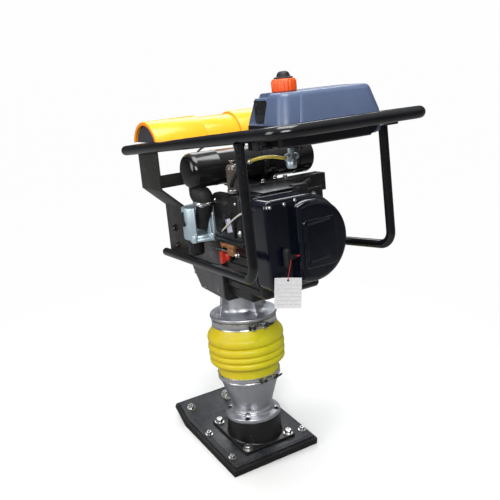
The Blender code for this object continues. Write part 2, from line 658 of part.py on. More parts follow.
FILLER_AT = (-0.0864, -0.1140, 0.6060)
cap = rod(FILLER_AT, (-0.1080, FILLER_AT[1], FILLER_AT[2]), 0.0135, 16)
tab = box((-0.1160, FILLER_AT[1] - 0.0025, FILLER_AT[2] - 0.0110),
          (-0.1070, FILLER_AT[1] + 0.0025, FILLER_AT[2] + 0.0110))
publish(unite(cap, tab), "oil_cap", RED_PLASTIC, LEG, FILLER_AT)

CLEANER_Y = -0.0850
CLEANER_Z = 0.8355
CLEANER_LEFT = -0.1760
CLEANER_TILT = math.radians(1.3)
CLEANER_AXIS = (math.cos(CLEANER_TILT), 0, -math.sin(CLEANER_TILT))
CLEANER_R = 0.0445
cleaner = turned([(0, 0), (0.030, 0), (0.040, 0.004), (CLEANER_R, 0.014), (CLEANER_R, 0.323),
                  (CLEANER_R - 0.0025, 0.323), (CLEANER_R - 0.0025, 0.014), (0, 0.006)],
                 (CLEANER_LEFT, CLEANER_Y, CLEANER_Z), CLEANER_AXIS, 24)
spigot = rod((CARB.x, CLEANER_Y + 0.010, 0.7850), (CARB.x, CLEANER_Y + 0.010, 0.8000), 0.0200, 20)
cleaner = unite(cleaner, spigot)
cleaner = cut(cleaner, rod((CARB.x, CLEANER_Y + 0.010, 0.78), (CARB.x, CLEANER_Y + 0.010, 0.82),
                           0.0160, 16))
publish(cleaner, "air_cleaner_body", SATIN_BLACK)
cap_at = Vector((CLEANER_LEFT, CLEANER_Y, CLEANER_Z)) + Vector(CLEANER_AXIS) * 0.3250
publish(turned([(0, 0.0520), (0.036, 0.0520), (0.0455, 0.0440), (0.0460, 0.012),
                (0.0460, 0), (0.0449, 0), (0.0449, 0.0420), (0, 0.0420)],
               cap_at, CLEANER_AXIS, 24), "air_cleaner_cap", SATIN_BLACK)



elbow = cut(sleeve_of(ELBOW, 0.0), sleeve_of(ELBOW, -0.0050, 0.001))
publish(elbow, "intake_elbow", RUBBER)

channel = prism([(-0.1480, 0.7800), (-0.1040, 0.7800), (-0.1040, 0.7770), (-0.1450, 0.7770),
                 (-0.1450, 0.7360), (-0.1250, 0.7360), (-0.1250, 0.7330), (-0.1480, 0.7330)],
                0.0760, 0.2120)
publish(channel, "channel_bracket", SATIN_BLACK)

FILTER = (-0.1000, -0.1900)
bowl = turned([(0, 0), (0.0145, 0), (0.0165, 0.004), (0.0165, 0.055), (0.0140, 0.062),
               (0.0045, 0.0655), (0.0045, 0.0720), (0, 0.0720)],
              (FILTER[0], FILTER[1], 0.7860), (0, 0, 1), 20)
publish(bowl, "fuel_filter", CLEAR_PLASTIC)

COCK = (-0.0470, -0.3650)
valve = rod((COCK[0], COCK[1], 0.8580), (COCK[0], COCK[1], 0.9040), 0.0075, 14)
barrel = rod((COCK[0] - 0.0140, COCK[1], 0.8680), (COCK[0] + 0.0140, COCK[1], 0.8680), 0.0080, 12)
nut = prism(hexagon(0.018, COCK), 0.8960, 0.9070, "Z")
publish(unite(valve, barrel, nut), "fuel_cock", CARB_METAL)
ring = rod((COCK[0], COCK[1] - 0.0084, 0.8680), (COCK[0], COCK[1] - 0.0120, 0.8680), 0.0070, 12)
blade = box((COCK[0] - 0.0030, COCK[1] - 0.0118, 0.8480), (COCK[0] + 0.0030, COCK[1] - 0.0094, 0.8680))
publish(unite(ring, blade), "fuel_cock_lever", CARB_METAL, LEG, (COCK[0], COCK[1] - 0.0100, 0.8680))

HOSE = [(COCK[0] - 0.0145, COCK[1], 0.8680), (COCK[0] - 0.0220, COCK[1], 0.8684),
        (-0.0840, -0.3480, 0.8720), (-0.1000, -0.3180, 0.8700), (-0.1120, -0.2850, 0.8600),
        (-0.1180, -0.2600, 0.8460), (-0.1210, -0.2400, 0.8300), (-0.1215, -0.2220, 0.8120),
        (-0.1190, -0.2100, 0.8020), (-0.1150, -0.2050, 0.8000), (-0.11210, -0.20210, 0.8000)]
publish(tube([Vector(p) for p in HOSE], 0.0036, 8), "fuel_hose", HOSE_PLASTIC)


def tank_ring(level, inset, radius):
    low, high = TANK_LOW, TANK_HIGH
    corners = [(high[0] - inset, high[1] - inset, 0), (low[0] + inset, high[1] - inset, 90),
               (low[0] + inset, low[1] + inset, 180), (high[0] - inset, low[1] + inset, 270)]
    points = []
    for x, y, start in corners:
        centre = (x - radius if start in (0, 270) else x + radius,
                  y - radius if start in (0, 90) else y + radius)
        points += [(*p, level) for p in arc(centre, radius, start, start + 90, 4)]
    return points


low_z, top_z = TANK_LOW[2], TANK_HIGH[2]
tank = stacked([tank_ring(low_z, 0.008, 0.018), tank_ring(low_z + 0.008, 0.000, 0.024),
                tank_ring(low_z + 0.048, 0.000, 0.024), tank_ring(top_z - 0.007, 0.0145, 0.020),
                tank_ring(top_z, 0.0200, 0.016)])
hollow = stacked([tank_ring(low_z + 0.004, 0.012, 0.014), tank_ring(low_z + 0.012, 0.004, 0.020),
                  tank_ring(low_z + 0.048, 0.004, 0.020), tank_ring(top_z - 0.010, 0.0185, 0.016),
                  tank_ring(top_z - 0.004, 0.0240, 0.012)])
side_recess = box((TANK_LOW[0] - 0.02, -0.4360, 0.9520), (TANK_LOW[0] + 0.0300, -0.3780, 1.0010),
                  0.004)
filler = rod((CAP_X, CAP_Y, top_z - 0.004), (CAP_X, CAP_Y, top_z + 0.014), 0.0215, 20)
tank = cut(tank, hollow)
tank = unite(tank, filler)
recess_wall = box((TANK_LOW[0] + 0.0090, -0.4390, 0.9490),
                  (TANK_LOW[0] + 0.0330, -0.3750, 1.0040))
tank = unite(tank, recess_wall)
tank = cut(tank, side_recess, rod((CAP_X, CAP_Y, top_z - 0.008), (CAP_X, CAP_Y, 1.06), 0.0175, 20))
publish(tank, "fuel_tank", SLATE_PLASTIC)

CAP_LOW = top_z + GAP
cap = turned([(0.0220, CAP_LOW), (0.0268, CAP_LOW), (0.0272, CAP_LOW + 0.0230),
              (0.0250, CAP_LOW + 0.0270), (0.0180, CAP_LOW + 0.0280), (0.0165, CAP_LOW + 0.0330),
              (0.0100, CAP_LOW + 0.0400), (0, CAP_LOW + 0.0430), (0, CAP_LOW + 0.0145),
              (0.0220, CAP_LOW + 0.0145)], (CAP_X, CAP_Y, 0), (0, 0, 1), 24)
publish(cap, "tank_cap", ORANGE_PLASTIC, LEG, (CAP_X, CAP_Y, CAP_LOW))

# ---------------------------------------------------------------- handle, guards and trim
corners = [(-LOOP_HALF, *LOOP_FRONT), (-LOOP_HALF, *LOOP_REAR),
           (LOOP_HALF, *LOOP_REAR), (LOOP_HALF, *LOOP_FRONT)]
loop = tube(rounded_path(corners, [0.022, 0.045, 0.045, 0.022], 5, True), LOOP_TUBE, 12, True)


def loop_height(y):
    t = (y - LOOP_REAR[0]) / (LOOP_FRONT[0] - LOOP_REAR[0])
    return LOOP_REAR[1] + t * (LOOP_FRONT[1] - LOOP_REAR[1])


def guard(name, side):
    top = loop_height(GUARD_Y) - LOOP_TUBE - 0.0016
    points = [(side * GUARD_X, GUARD_Y, top), (side * GUARD_X, GUARD_Y - GUARD_RAKE, GUARD_Z),
              (side * 0.1430, STRAP_FRONT + 0.006, 0.5860)]
    path = rounded_path(points, [0, 0.034, 0], 6)
    publish(tube(path, GUARD_TUBE, 12), name, BLACK_PAINT)


guard("guard_left", -1)
guard("guard_right", 1)


def strap(side):
    half = STRAP_THICK / 2
    top = loop_height(STRAP_REAR) - LOOP_TUBE + 0.0030
    line = [(STRAP_UPPER_X, top), (STRAP_UPPER_X, 0.7810), (STRAP_LOWER_X, 0.7240),
            (STRAP_LOWER_X, 0.5790)]
    outline = [(x + half, z) for x, z in line]
    outline[1] = (outline[1][0], outline[1][1] - 0.0018)
    outline[2] = (outline[2][0], outline[2][1] - 0.0018)
    back = [(x - half, z) for x, z in reversed(line)]
    back[1] = (back[1][0], back[1][1] + 0.0018)
    back[2] = (back[2][0], back[2][1] + 0.0018)
    outline = outline + back
    if side < 0:
        outline = mirrored(outline)
    return prism(outline, STRAP_REAR, STRAP_FRONT, "Y")


crossbar = box((-STRAP_UPPER_X, 0.0420, 0.7840), (STRAP_UPPER_X, 0.0460, 0.8180))
frame = unite(strap(-1), crossbar, strap(1))
for side in (-1, 1):
    bed = [Vector((side * LOOP_HALF, y, loop_height(y))) for y in (-0.05, 0.19)]
    frame = cut(frame, tube(bed, LOOP_TUBE + 0.0007, 16))
publish(frame, "front_frame", BLACK_PAINT)

for name, side in (("rubber_mount_left", -1), ("rubber_mount_right", 1)):
    inner_x = side * (CASE_HALF + GAP)
    outer_x = side * (STRAP_LOWER_X - STRAP_THICK / 2 - GAP)
    low_pad = rod((inner_x, 0.0820, 0.6120), (outer_x, 0.0820, 0.6120), 0.0200, 20)
    high_pad = rod((inner_x, 0.0820, 0.6580), (outer_x, 0.0820, 0.6580), 0.0200, 20)
    joint_x = sorted((inner_x, outer_x))
    bridge = box((joint_x[0] + 0.004, 0.0700, 0.6120), (joint_x[1] - 0.004, 0.0940, 0.6580))
    publish(unite(low_pad, high_pad, bridge), name, RUBBER)


HOOD_Y = 0.0830
HOOD_Z = 0.8855
HOOD_R = 0.0745
HOOD_HALF = 0.1990
SADDLE = loop_height(HOOD_Y - HOOD_R) + LOOP_TUBE - 0.0060


def arch(outer_radius, inner_radius, foot, low, high):
    start = math.degrees(math.asin((foot - HOOD_Z) / outer_radius))
    inner_start = math.degrees(math.asin((foot - HOOD_Z) / inner_radius))
    outline = arc((HOOD_Y, HOOD_Z), outer_radius, start, 180 - start, 16)
    outline += arc((HOOD_Y, HOOD_Z), inner_radius, 180 - inner_start, inner_start, 16)
    return prism(outline, low, high)


hood = arch(HOOD_R, HOOD_R - 0.0060, SADDLE, -HOOD_HALF, HOOD_HALF)
skirt = arch(HOOD_R - 0.0008, HOOD_R - 0.0060, 0.8750, -0.1680, 0.1680)
beds = [tube([Vector((side * LOOP_HALF, y, loop_height(y))) for y in (-0.05, 0.20)], LOOP_TUBE + 0.0008, 16)
        for side in (-1, 1)]
core_start = math.degrees(math.asin((SADDLE - HOOD_Z) / (HOOD_R - 0.0050)))
core_outline = arc((HOOD_Y, HOOD_Z), HOOD_R - 0.0050, core_start, 180 - core_start, 16)
core = prism(core_outline, 0.006 - HOOD_HALF, HOOD_HALF - 0.006)
groove = arch(HOOD_R + 0.02, HOOD_R - 0.0030, SADDLE + 0.004, -0.0450, 0.0500)
publish(cut(unite(hood, skirt, core), groove, *beds), "bumper_hood", YELLOW_HOOD)

cradle_z = TANK_LOW[2] - 0.0035
inner_bar = LOOP_HALF - 0.006
step_x = TANK_HIGH[0] + 0.0010
shelf_z = cradle_z + 0.0105
cradle = box((-inner_bar, -0.4600, cradle_z), (step_x + 0.0035, -0.4200, cradle_z + 0.0030))
cradle = unite(cradle, box((-inner_bar, -0.4600, cradle_z), (0.004 - inner_bar, -0.4200, 0.9400)),
               box((step_x, -0.4600, cradle_z), (step_x + 0.0035, -0.4200, shelf_z + 0.0030)),
               box((step_x, -0.4600, shelf_z), (inner_bar, -0.4200, shelf_z + 0.0030)),
               box((inner_bar - 0.004, -0.4600, shelf_z), (inner_bar, -0.4200, 0.9400)))

THROTTLE = (0.1620, -0.3000)
throttle_z = loop_height(THROTTLE[1])
clip = box((0.1590, THROTTLE[1] - 0.0120, throttle_z - 0.0100),
           (LOOP_HALF - 0.006, THROTTLE[1] + 0.0120, throttle_z + 0.0100))
publish(unite(loop, cradle, clip), "handle_loop", BLACK_PAINT)
ring = rod((0.1586, THROTTLE[1], throttle_z), (0.1530, THROTTLE[1], throttle_z), 0.0100, 16)
arm = box((0.1535, THROTTLE[1] - 0.0450, throttle_z - 0.0040),
          (0.1580, THROTTLE[1], throttle_z + 0.0040))
publish(unite(ring, arm), "throttle_lever", RUBBER, LEG, (0.1560, THROTTLE[1], throttle_z))

cable = [(0.1650, -0.2870, throttle_z - 0.002), (0.1650, -0.2200, 0.9080), (0.1650, -0.1000, 0.8980),
         (0.1640, -0.0300, 0.8920), (0.1500, -0.0180, 0.8880), (0.0600, -0.0180, 0.8870),
         (-0.0600, -0.0180, 0.8860), (-0.1100, -0.0200, 0.8600), (-0.1180, -0.0150, 0.8000),
         (-0.1150, -0.0140, 0.7550), (-0.1100, -0.0200, 0.7276)]
publish(tube([Vector(p) for p in cable], 0.0026, 6), "throttle_cable", RUBBER)

# ---------------------------------------------------------------- hang tag, plumb under its knot
TAG_WIDTH = 0.0640
TAG_TURN = math.radians(-32)
TAG_HEIGHT = 0.078
TAG_DROP = 0.043
TAG_HOLE_X = -0.0740
knot = leg_point(GRIP_X, -0.3590, CORD_Z)
tag_top = knot.z - TAG_DROP
tag = box((TAG_HOLE_X - TAG_WIDTH / 2, knot.y - 0.0026, tag_top - TAG_HEIGHT),
          (TAG_HOLE_X + TAG_WIDTH / 2, knot.y - 0.0020, tag_top))
hole = Vector((TAG_HOLE_X, knot.y, tag_top - 0.007))
tag = cut(tag, rod(hole + Vector((0, 0.01, 0)), hole - Vector((0, 0.01, 0)), 0.0028, 10))
about = Matrix.Translation((TAG_HOLE_X, knot.y, 0))
tag.data.transform(about @ Matrix.Rotation(TAG_TURN, 4, "Z") @ about.inverted())
publish(tag, "hang_tag", PAPER, FLAT, tuple(knot))
facing = Matrix.Rotation(TAG_TURN, 4, "Z") @ Vector((0, -1, 0))
eye = Vector((TAG_HOLE_X, knot.y, hole.z)) + facing * 0.0023
string_path = [knot, eye + facing * 0.0030 + Vector((0, 0, 0.0090)),
               eye + facing * 0.0028 + Vector((0, 0, 0.0035)), eye - Vector((0, 0, 0.0010))]
publish(tube(string_path, 0.0008, 6), "tag_string", RED_STRING, FLAT, tuple(knot))
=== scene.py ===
"""Looks of the tamping rammer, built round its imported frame.

Everything above the shoe leans forward with the leg, so it is drawn in the leg frame
(x to the operator's right, y forward, z up the leg) and set into the row frame by LEG.
"""

import math

import bmesh
import bpy
from mathutils import Matrix, Vector


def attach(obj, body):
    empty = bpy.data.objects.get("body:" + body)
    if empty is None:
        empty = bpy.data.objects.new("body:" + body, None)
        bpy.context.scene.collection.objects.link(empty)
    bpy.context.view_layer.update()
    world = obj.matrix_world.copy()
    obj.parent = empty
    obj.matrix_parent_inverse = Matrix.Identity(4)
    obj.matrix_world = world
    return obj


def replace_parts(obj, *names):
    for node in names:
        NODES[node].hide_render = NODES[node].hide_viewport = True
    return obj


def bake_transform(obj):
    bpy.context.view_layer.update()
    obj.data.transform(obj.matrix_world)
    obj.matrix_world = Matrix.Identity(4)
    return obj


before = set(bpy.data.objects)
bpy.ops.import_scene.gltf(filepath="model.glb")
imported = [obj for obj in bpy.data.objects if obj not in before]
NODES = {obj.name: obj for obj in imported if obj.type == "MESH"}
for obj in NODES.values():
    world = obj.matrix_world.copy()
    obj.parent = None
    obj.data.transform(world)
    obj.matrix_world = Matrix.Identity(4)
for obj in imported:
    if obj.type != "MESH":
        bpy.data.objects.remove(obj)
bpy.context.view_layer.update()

# ---------------------------------------------------------------- driving dimensions
LEAN = 0.165
LEG = Matrix.Rotation(-LEAN, 4, "X")
FLAT = Matrix.Identity(4)
UP, LEFT, RIGHT, REAR = (0, 0, 1), (-1, 0, 0), (1, 0, 0), (0, -1, 0)

BASE_TOP = 0.0376
PLATE_TOP = 0.0273
SHOE_BOLTS = ((-0.121, -0.063), (0.121, -0.063), (-0.121, 0.068), (0.121, 0.068))
FOOT_BOLTS = {"rear_left": (-0.07, -0.064), "rear_right": (0.07, -0.064),
    "front_left": (-0.07, 0.094), "front_right": (0.07, 0.094)}
BOSS_RADIUS = 0.0785
BOSS_TOP = 0.0935
SLEEVE_LOW = 0.0938
CONE_TOP = 0.235
SEAT_RADIUS = 0.0845
NECK_TOP = 0.4765
SHAFT_Z = 0.6594
CORD_Z = SHAFT_Z - 0.0285
CORD_Y = -0.344
GRIP_X = -0.066
CASE_REAR = -0.0758

LOOP_HALF = 0.1985
LOOP_TUBE = 0.0135
LOOP_FRONT = (0.234, 0.878)
LOOP_REAR = (-0.548, 0.943)
GUARD_TUBE = 0.0112
GUARD_X = 0.2005
GUARD_Y = -0.398
GUARD_Z = 0.619
GUARD_RAKE = 0.011
TANK_LOW = (-0.158, -0.503, 0.9075)
TANK_HIGH = (0.112, -0.36, 1.0145)
CAP = (-0.092, -0.424)
HOOD = (0.083, 0.8855)
HOOD_R = 0.0745
HOOD_HALF = 0.199
FAN_MIDDLE = (0.01, SHAFT_Z)
FAN_RADIUS = 0.1095
FAN_REAR = -0.329
COVER_REAR = -0.358
PANEL_REAR = -0.364
CARB = (-0.14, -0.055)
CARB_EARS = ((-0.17, -0.086), (-0.122, -0.094))
BOWL_X = -0.1515
ELBOW_RADIUS = 0.02
FILLER = (-0.114, 0.606)
TAG_WIDTH = 0.064
TAG_HEIGHT = 0.078
TAG_DROP = 0.043
TAG_HOLE_X = -0.074
TAG_TURN = math.radians(-32)
CLEANER = (-0.085, 0.8355)
CLEANER_LEFT = -0.176
CLEANER_TILT = math.radians(1.3)
FILTER = (-0.1, -0.19)
COCK = (-0.047, -0.365)
COCK_Z = 0.868
THROTTLE_Y = -0.3
CAMERA_AT = (-1.0033, -1.5319, 1.3352)
CAMERA_TURN = (0.5714, 0.3781, -0.0051)
CAMERA_LENS = 53.2


def loop_height(y):
    """The height of the handle loop's middle line at y."""
    t = (y - LOOP_REAR[0]) / (LOOP_FRONT[0] - LOOP_REAR[0])
    return LOOP_REAR[1] + t * (LOOP_FRONT[1] - LOOP_REAR[1])


# ---------------------------------------------------------------- mesh building blocks
def block(low, high, bevel=0.001, segments=2):
    """A box between two corners, its edges rounded."""
    bm = bmesh.new()
    bmesh.ops.create_cube(bm, size=1.0)
    bmesh.ops.scale(bm, vec=[h - l for l, h in zip(low, high)], verts=bm.verts)
    bmesh.ops.translate(bm, vec=[(h + l) / 2 for l, h in zip(low, high)], verts=bm.verts)
    if bevel:
        bmesh.ops.bevel(bm, geom=bm.edges[:], offset=bevel, segments=segments, affect="EDGES",
            profile=0.5)
    return bm


def moved(bm, matrix):
    bm.transform(matrix)
    return bm


def aimed(bm, at, direction):
    """Turns a shape that points up so that it points in direction, and sets it at its place."""
    turn = Vector(UP).rotation_difference(Vector(direction)).to_matrix().to_4x4()
    return moved(bm, Matrix.Translation(at) @ turn)


def placed(name, data):
    """A new object in the scene that shows this data."""
    obj = bpy.data.objects.new(name, data)
    bpy.context.scene.collection.objects.link(obj)
    return obj


def stacked(rings):
    """A solid whose skin joins rings of equally many points, closed at both ends."""
    bm = bmesh.new()
    loops = [[bm.verts.new(p) for p in ring] for ring in rings]
    bm.faces.new(loops[0])
    bm.faces.new(loops[-1])
    for one, two in zip(loops, loops[1:]):
        for i in range(len(one)):
            j = (i + 1) % len(one)
            bm.faces.new((one[i], one[j], two[j], two[i]))
    return bm


def lathe(profile, origin=(0, 0, 0), direction=UP, segments=64):
    """A solid of revolution from a closed (radius, height) outline."""
    bm = bmesh.new()
    rings = []
    for radius, height in profile:
        count = 1 if radius < 1e-6 else segments
        rings.append([bm.verts.new((radius * math.cos(math.tau * i / segments),
            radius * math.sin(math.tau * i / segments), height)) for i in range(count)])
    for one, two in zip(rings, rings[1:] + rings[:1]):
        for i in range(segments):
            j = (i + 1) % segments
            ring = [one[i % len(one)], one[j % len(one)], two[j % len(two)], two[i % len(two)]]
            ring = list(dict.fromkeys(ring))
            if len(ring) > 2:
                bm.faces.new(ring)
    return aimed(bm, origin, direction)


def eased(profile, width=0.0008, steps=2):
    """The outline with each corner cut by a small arc, so that its edges catch light."""
    out = []
    count = len(profile)
    for i, (r, z) in enumerate(profile):
        here = Vector((r, z))
        back = Vector(profile[i - 1]) - here
        ahead = Vector(profile[(i + 1) % count]) - here
        if r < 1e-6 or back.length < 1e-7 or ahead.length < 1e-7:
            out.append((r, z))
            continue
        reach = min(width, back.length * 0.45, ahead.length * 0.45)
        a = here + back.normalized() * reach
        b = here + ahead.normalized() * reach
        for k in range(steps + 1):
            t = k / steps
            p = a * (1 - t) ** 2 + here * 2 * t * (1 - t) + b * t * t
            out.append((max(p.x, 0.0), p.y))
    return out


def puck(radius, height, width=0.0008, steps=2, low=0.0):
    """The outline of a plain disc, for lathe."""
    return eased([(0, low), (radius, low), (radius, low + height), (0, low + height)], width, steps)


def bar(start, end, radius, segments=32, bore=0.0, ease=0.0008):
    """A round bar, or a tube when it has a bore."""
    line = Vector(end) - Vector(start)
    profile = [(bore, 0), (radius, 0), (radius, line.length), (bore, line.length)]
    return lathe(eased(profile, ease), start, line.normalized(), segments)


def slab(outline, low, high, axis="X", bevel=0.001, segments=2, angle=25):
    """A flat outline pushed out along one axis, its sharp edges rounded."""
    bm = stacked([[{"X": (depth, u, v), "Y": (u, depth, v), "Z": (u, v, depth)}[axis]
        for u, v in outline] for depth in (low, high)])
    if bevel:
        soften(bm, bevel, segments, angle)
    return bm


def soften(bm, width, segments=2, angle=25):
    """Rounds every edge sharper than angle."""
    bmesh.ops.recalc_face_normals(bm, faces=bm.faces)
    limit = math.radians(angle)
    edges = [e for e in bm.edges if e.is_manifold and e.calc_face_angle(0) > limit]
    if edges:
        bmesh.ops.bevel(bm, geom=edges, offset=width, segments=segments, affect="EDGES",
            profile=0.5, clamp_overlap=True)
    return bm


def arc(centre, radius, start, end, steps):
    """Points round a centre, from one angle in degrees to another."""
    return [(centre[0] + radius * math.cos(math.radians(start + (end - start) * i / steps)),
        centre[1] + radius * math.sin(math.radians(start + (end - start) * i / steps)))
        for i in range(steps + 1)]


def hexagon(flats, centre=(0, 0), turn=0.0):
    """The corners of a hexagon of this width across its flats."""
    return arc(centre, flats / math.sqrt(3), turn, 300 + turn, 5)


def corner_path(points, radii, steps=8, closed=False):
    """A polyline with each corner replaced by an arc of its own radius."""
    points = [Vector(p) for p in points]
    count = len(points)
    path = []
    for i, here in enumerate(points):
        if not closed and i in (0, count - 1):
            path.append(here)
            continue
        back = (points[i - 1] - here).normalized()
        ahead = (points[(i + 1) % count] - here).normalized()
        half = 0.5 * back.angle(ahead)
        middle = here + (back + ahead).normalized() * (radii[i] / math.sin(half))
        first = here + back * (radii[i] / math.tan(half)) - middle
        last = here + ahead * (radii[i] / math.tan(half)) - middle
        sweep = first.angle(last)
        for k in range(steps + 1):
            t = k / steps
            mix = first * math.sin((1 - t) * sweep) + last * math.sin(t * sweep)
            path.append(middle + mix / math.sin(sweep))
    return path


def smooth_path(points, steps=6):
    """A Catmull-Rom line through the points."""
    points = [Vector(p) for p in points]
    line = [points[0] * 2 - points[1], *points, points[-1] * 2 - points[-2]]
    path = []
    for a, b, c, d in zip(line, line[1:], line[2:], line[3:]):
        for k in range(steps):
            t = k / steps
            path.append(0.5 * (2 * b + (c - a) * t + (2 * a - 5 * b + 4 * c - d) * t * t
                + (3 * b - a - 3 * c + d) * t ** 3))
    return path + [points[-1]]


def pipe(path, radius, sides=20, closed=False):
    """A round bar that follows a path; radius may be a function of the share of the way."""
    bm = bmesh.new()
    count = len(path)
    rings = []
    normal = None
    for i, here in enumerate(path):
        before = path[i - 1] if closed or i else here
        after = path[(i + 1) % count] if closed or i < count - 1 else here
        tangent = (after - before).normalized()
        if normal is None:
            normal = tangent.orthogonal().normalized()
        normal = (normal - tangent * normal.dot(tangent)).normalized()
        side = tangent.cross(normal)
        r = radius(i / (count - 1)) if callable(radius) else radius
        rings.append([bm.verts.new(here + (normal * math.cos(math.tau * k / sides) + side
            * math.sin(math.tau * k / sides)) * r) for k in range(sides)])
    pairs = list(zip(rings, rings[1:]))
    if closed:
        pairs.append((rings[-1], rings[0]))
    for one, two in pairs:
        shift = 0
        if closed and one is rings[-1]:
            shift = min(range(sides), key=lambda s: (one[0].co - two[s].co).length)
        for k in range(sides):
            m = (k + 1) % sides
            bm.faces.new((one[k], one[m], two[(m + shift) % sides], two[(k + shift) % sides]))
    if not closed:
        bm.faces.new(rings[0])
        bm.faces.new(rings[-1])
    return bm


def together(*parts):
    """One mesh from several shapes that belong to one physical piece."""
    whole = bmesh.new()
    for part in parts:
        mesh = bpy.data.meshes.new("part")
        bmesh.ops.recalc_face_normals(part, faces=part.faces)
        part.to_mesh(mesh)
        part.free()
        whole.from_mesh(mesh)
        bpy.data.meshes.remove(mesh)
    return whole


def carved(solid, *cutters, operation="DIFFERENCE"):
    """solid with each cutter taken out of it, or joined to it."""
    def temporary(bm):
        bmesh.ops.recalc_face_normals(bm, faces=bm.faces)
        mesh = bpy.data.meshes.new("temporary")
        bm.to_mesh(mesh)
        bm.free()
        return placed("temporary", mesh)

    target = temporary(solid)
    for cutter in cutters:
        other = temporary(cutter)
        modifier = target.modifiers.new("cut", "BOOLEAN")
        modifier.operation = operation
        modifier.solver = "EXACT"
        modifier.object = other
        graph = bpy.context.evaluated_depsgraph_get()
        graph.update()
        mesh = bpy.data.meshes.new_from_object(target.evaluated_get(graph))
        target.modifiers.clear()
        target.data = mesh
        bpy.data.objects.remove(other)
    bm = bmesh.new()
    bm.from_mesh(target.data)
    bpy.data.objects.remove(target)
    return bm


def from_node(name, width=0.0008, segments=2, angle=28):
    """The CAD shape with its flats made whole and its edges rounded, in the row frame."""
    bm = bmesh.new()
    bm.from_mesh(NODES[name].data)
    bmesh.ops.remove_doubles(bm, verts=bm.verts, dist=2e-5)
    bmesh.ops.dissolve_limit(bm, angle_limit=math.radians(1.0), verts=bm.verts, edges=bm.edges)
    return soften(bm, width, segments, angle)


def show(name, bm, finish, body="housing", matrix=LEG, sharp=35):
    """Makes the piece, sets it in the row frame and lets it ride on its body."""
    bm.transform(matrix)
    bmesh.ops.recalc_face_normals(bm, faces=bm.faces)
    mesh = bpy.data.meshes.new(name)
    bm.to_mesh(mesh)
    bm.free()
    mesh.shade_smooth()
    mesh.set_sharp_from_angle(angle=math.radians(sharp))
    mesh.materials.append(finish)
    obj = placed(name, mesh)
    if body:
        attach(obj, body)
    return obj


def skin(node, bm, finish, body="housing", matrix=LEG, sharp=35):
    """The piece that is drawn in place of a CAD node."""
    obj = show(node + "_skin", bm, finish, body, matrix, sharp)
    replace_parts(obj, node)
    return obj


def repeat_node(name, finish, body="housing", width=0.0008, segments=2):
    """Draws a node in its CAD shape with eased edges."""
    return skin(name, from_node(name, width, segments), finish, body, FLAT)


def hex_bolt(at, direction, flats=0.013, height=0.006, washer=0.0, dish=True, turn=10):
    """A hex head with a chamfered top, a shallow dish and, if asked, a washer under it."""
    parts = []
    base = 0.0
    if washer:
        parts.append(lathe(puck(washer, 0.0018, 0.0005), segments=36))
        base = 0.0018
    head = bmesh.new()
    low = [head.verts.new((x, y, base)) for x, y in hexagon(flats, turn=turn)]
    mid = [head.verts.new((x, y, base + height * 0.82)) for x, y in hexagon(flats, turn=turn)]
    top = [head.verts.new((x, y, base + height)) for x, y in hexagon(flats * 0.86, turn=turn)]
    rim = [head.verts.new((x, y, base + height)) for x, y in hexagon(flats * 0.52, turn=turn)]
    pit = [head.verts.new((x, y, base + height * (0.45 if dish else 1.0)))
        for x, y in hexagon(flats * 0.44, turn=turn)]
    head.faces.new(low)
    for one, two in ((low, mid), (mid, top), (top, rim), (rim, pit)):
        for i in range(6):
            j = (i + 1) % 6
            head.faces.new((one[i], one[j], two[j], two[i]))
    head.faces.new(pit)
    parts.append(soften(head, 0.0004, 2, 20))
    return aimed(together(*parts), at, direction)


def socket_screw(at, direction, radius=0.0065, height=0.007):
    """A cap screw: a round head with a round socket."""
    profile = [(0, 0), (radius, 0), (radius, height), (radius * 0.55, height),
        (radius * 0.55, height * 0.35), (0, height * 0.35)]
    return lathe(eased(profile, 0.0005), at, direction, 24)


def domed_screw(at, direction, radius=0.005, height=0.0028, washer=0.0):
    """A cross-head screw seen from afar: a low dome with a crossed slot."""
    dome = [(0, 0)] + [(radius * math.cos(a), height * math.sin(a))
        for a in (0, 0.5, 1.0, 1.35)] + [(0, height)]
    head = lathe(dome, segments=24)
    slots = [block((-radius * wide, -radius * tall, height * 0.5),
        (radius * wide, radius * tall, height * 2), 0) for wide, tall in ((0.62, 0.1), (0.1, 0.62))]
    bm = carved(head, *slots)
    if washer:
        bm = together(bm, lathe(eased([(0, -0.0012), (washer, -0.0012), (washer, 0), (0, 0)],
            0.0004), segments=32))
    return aimed(bm, at, direction)


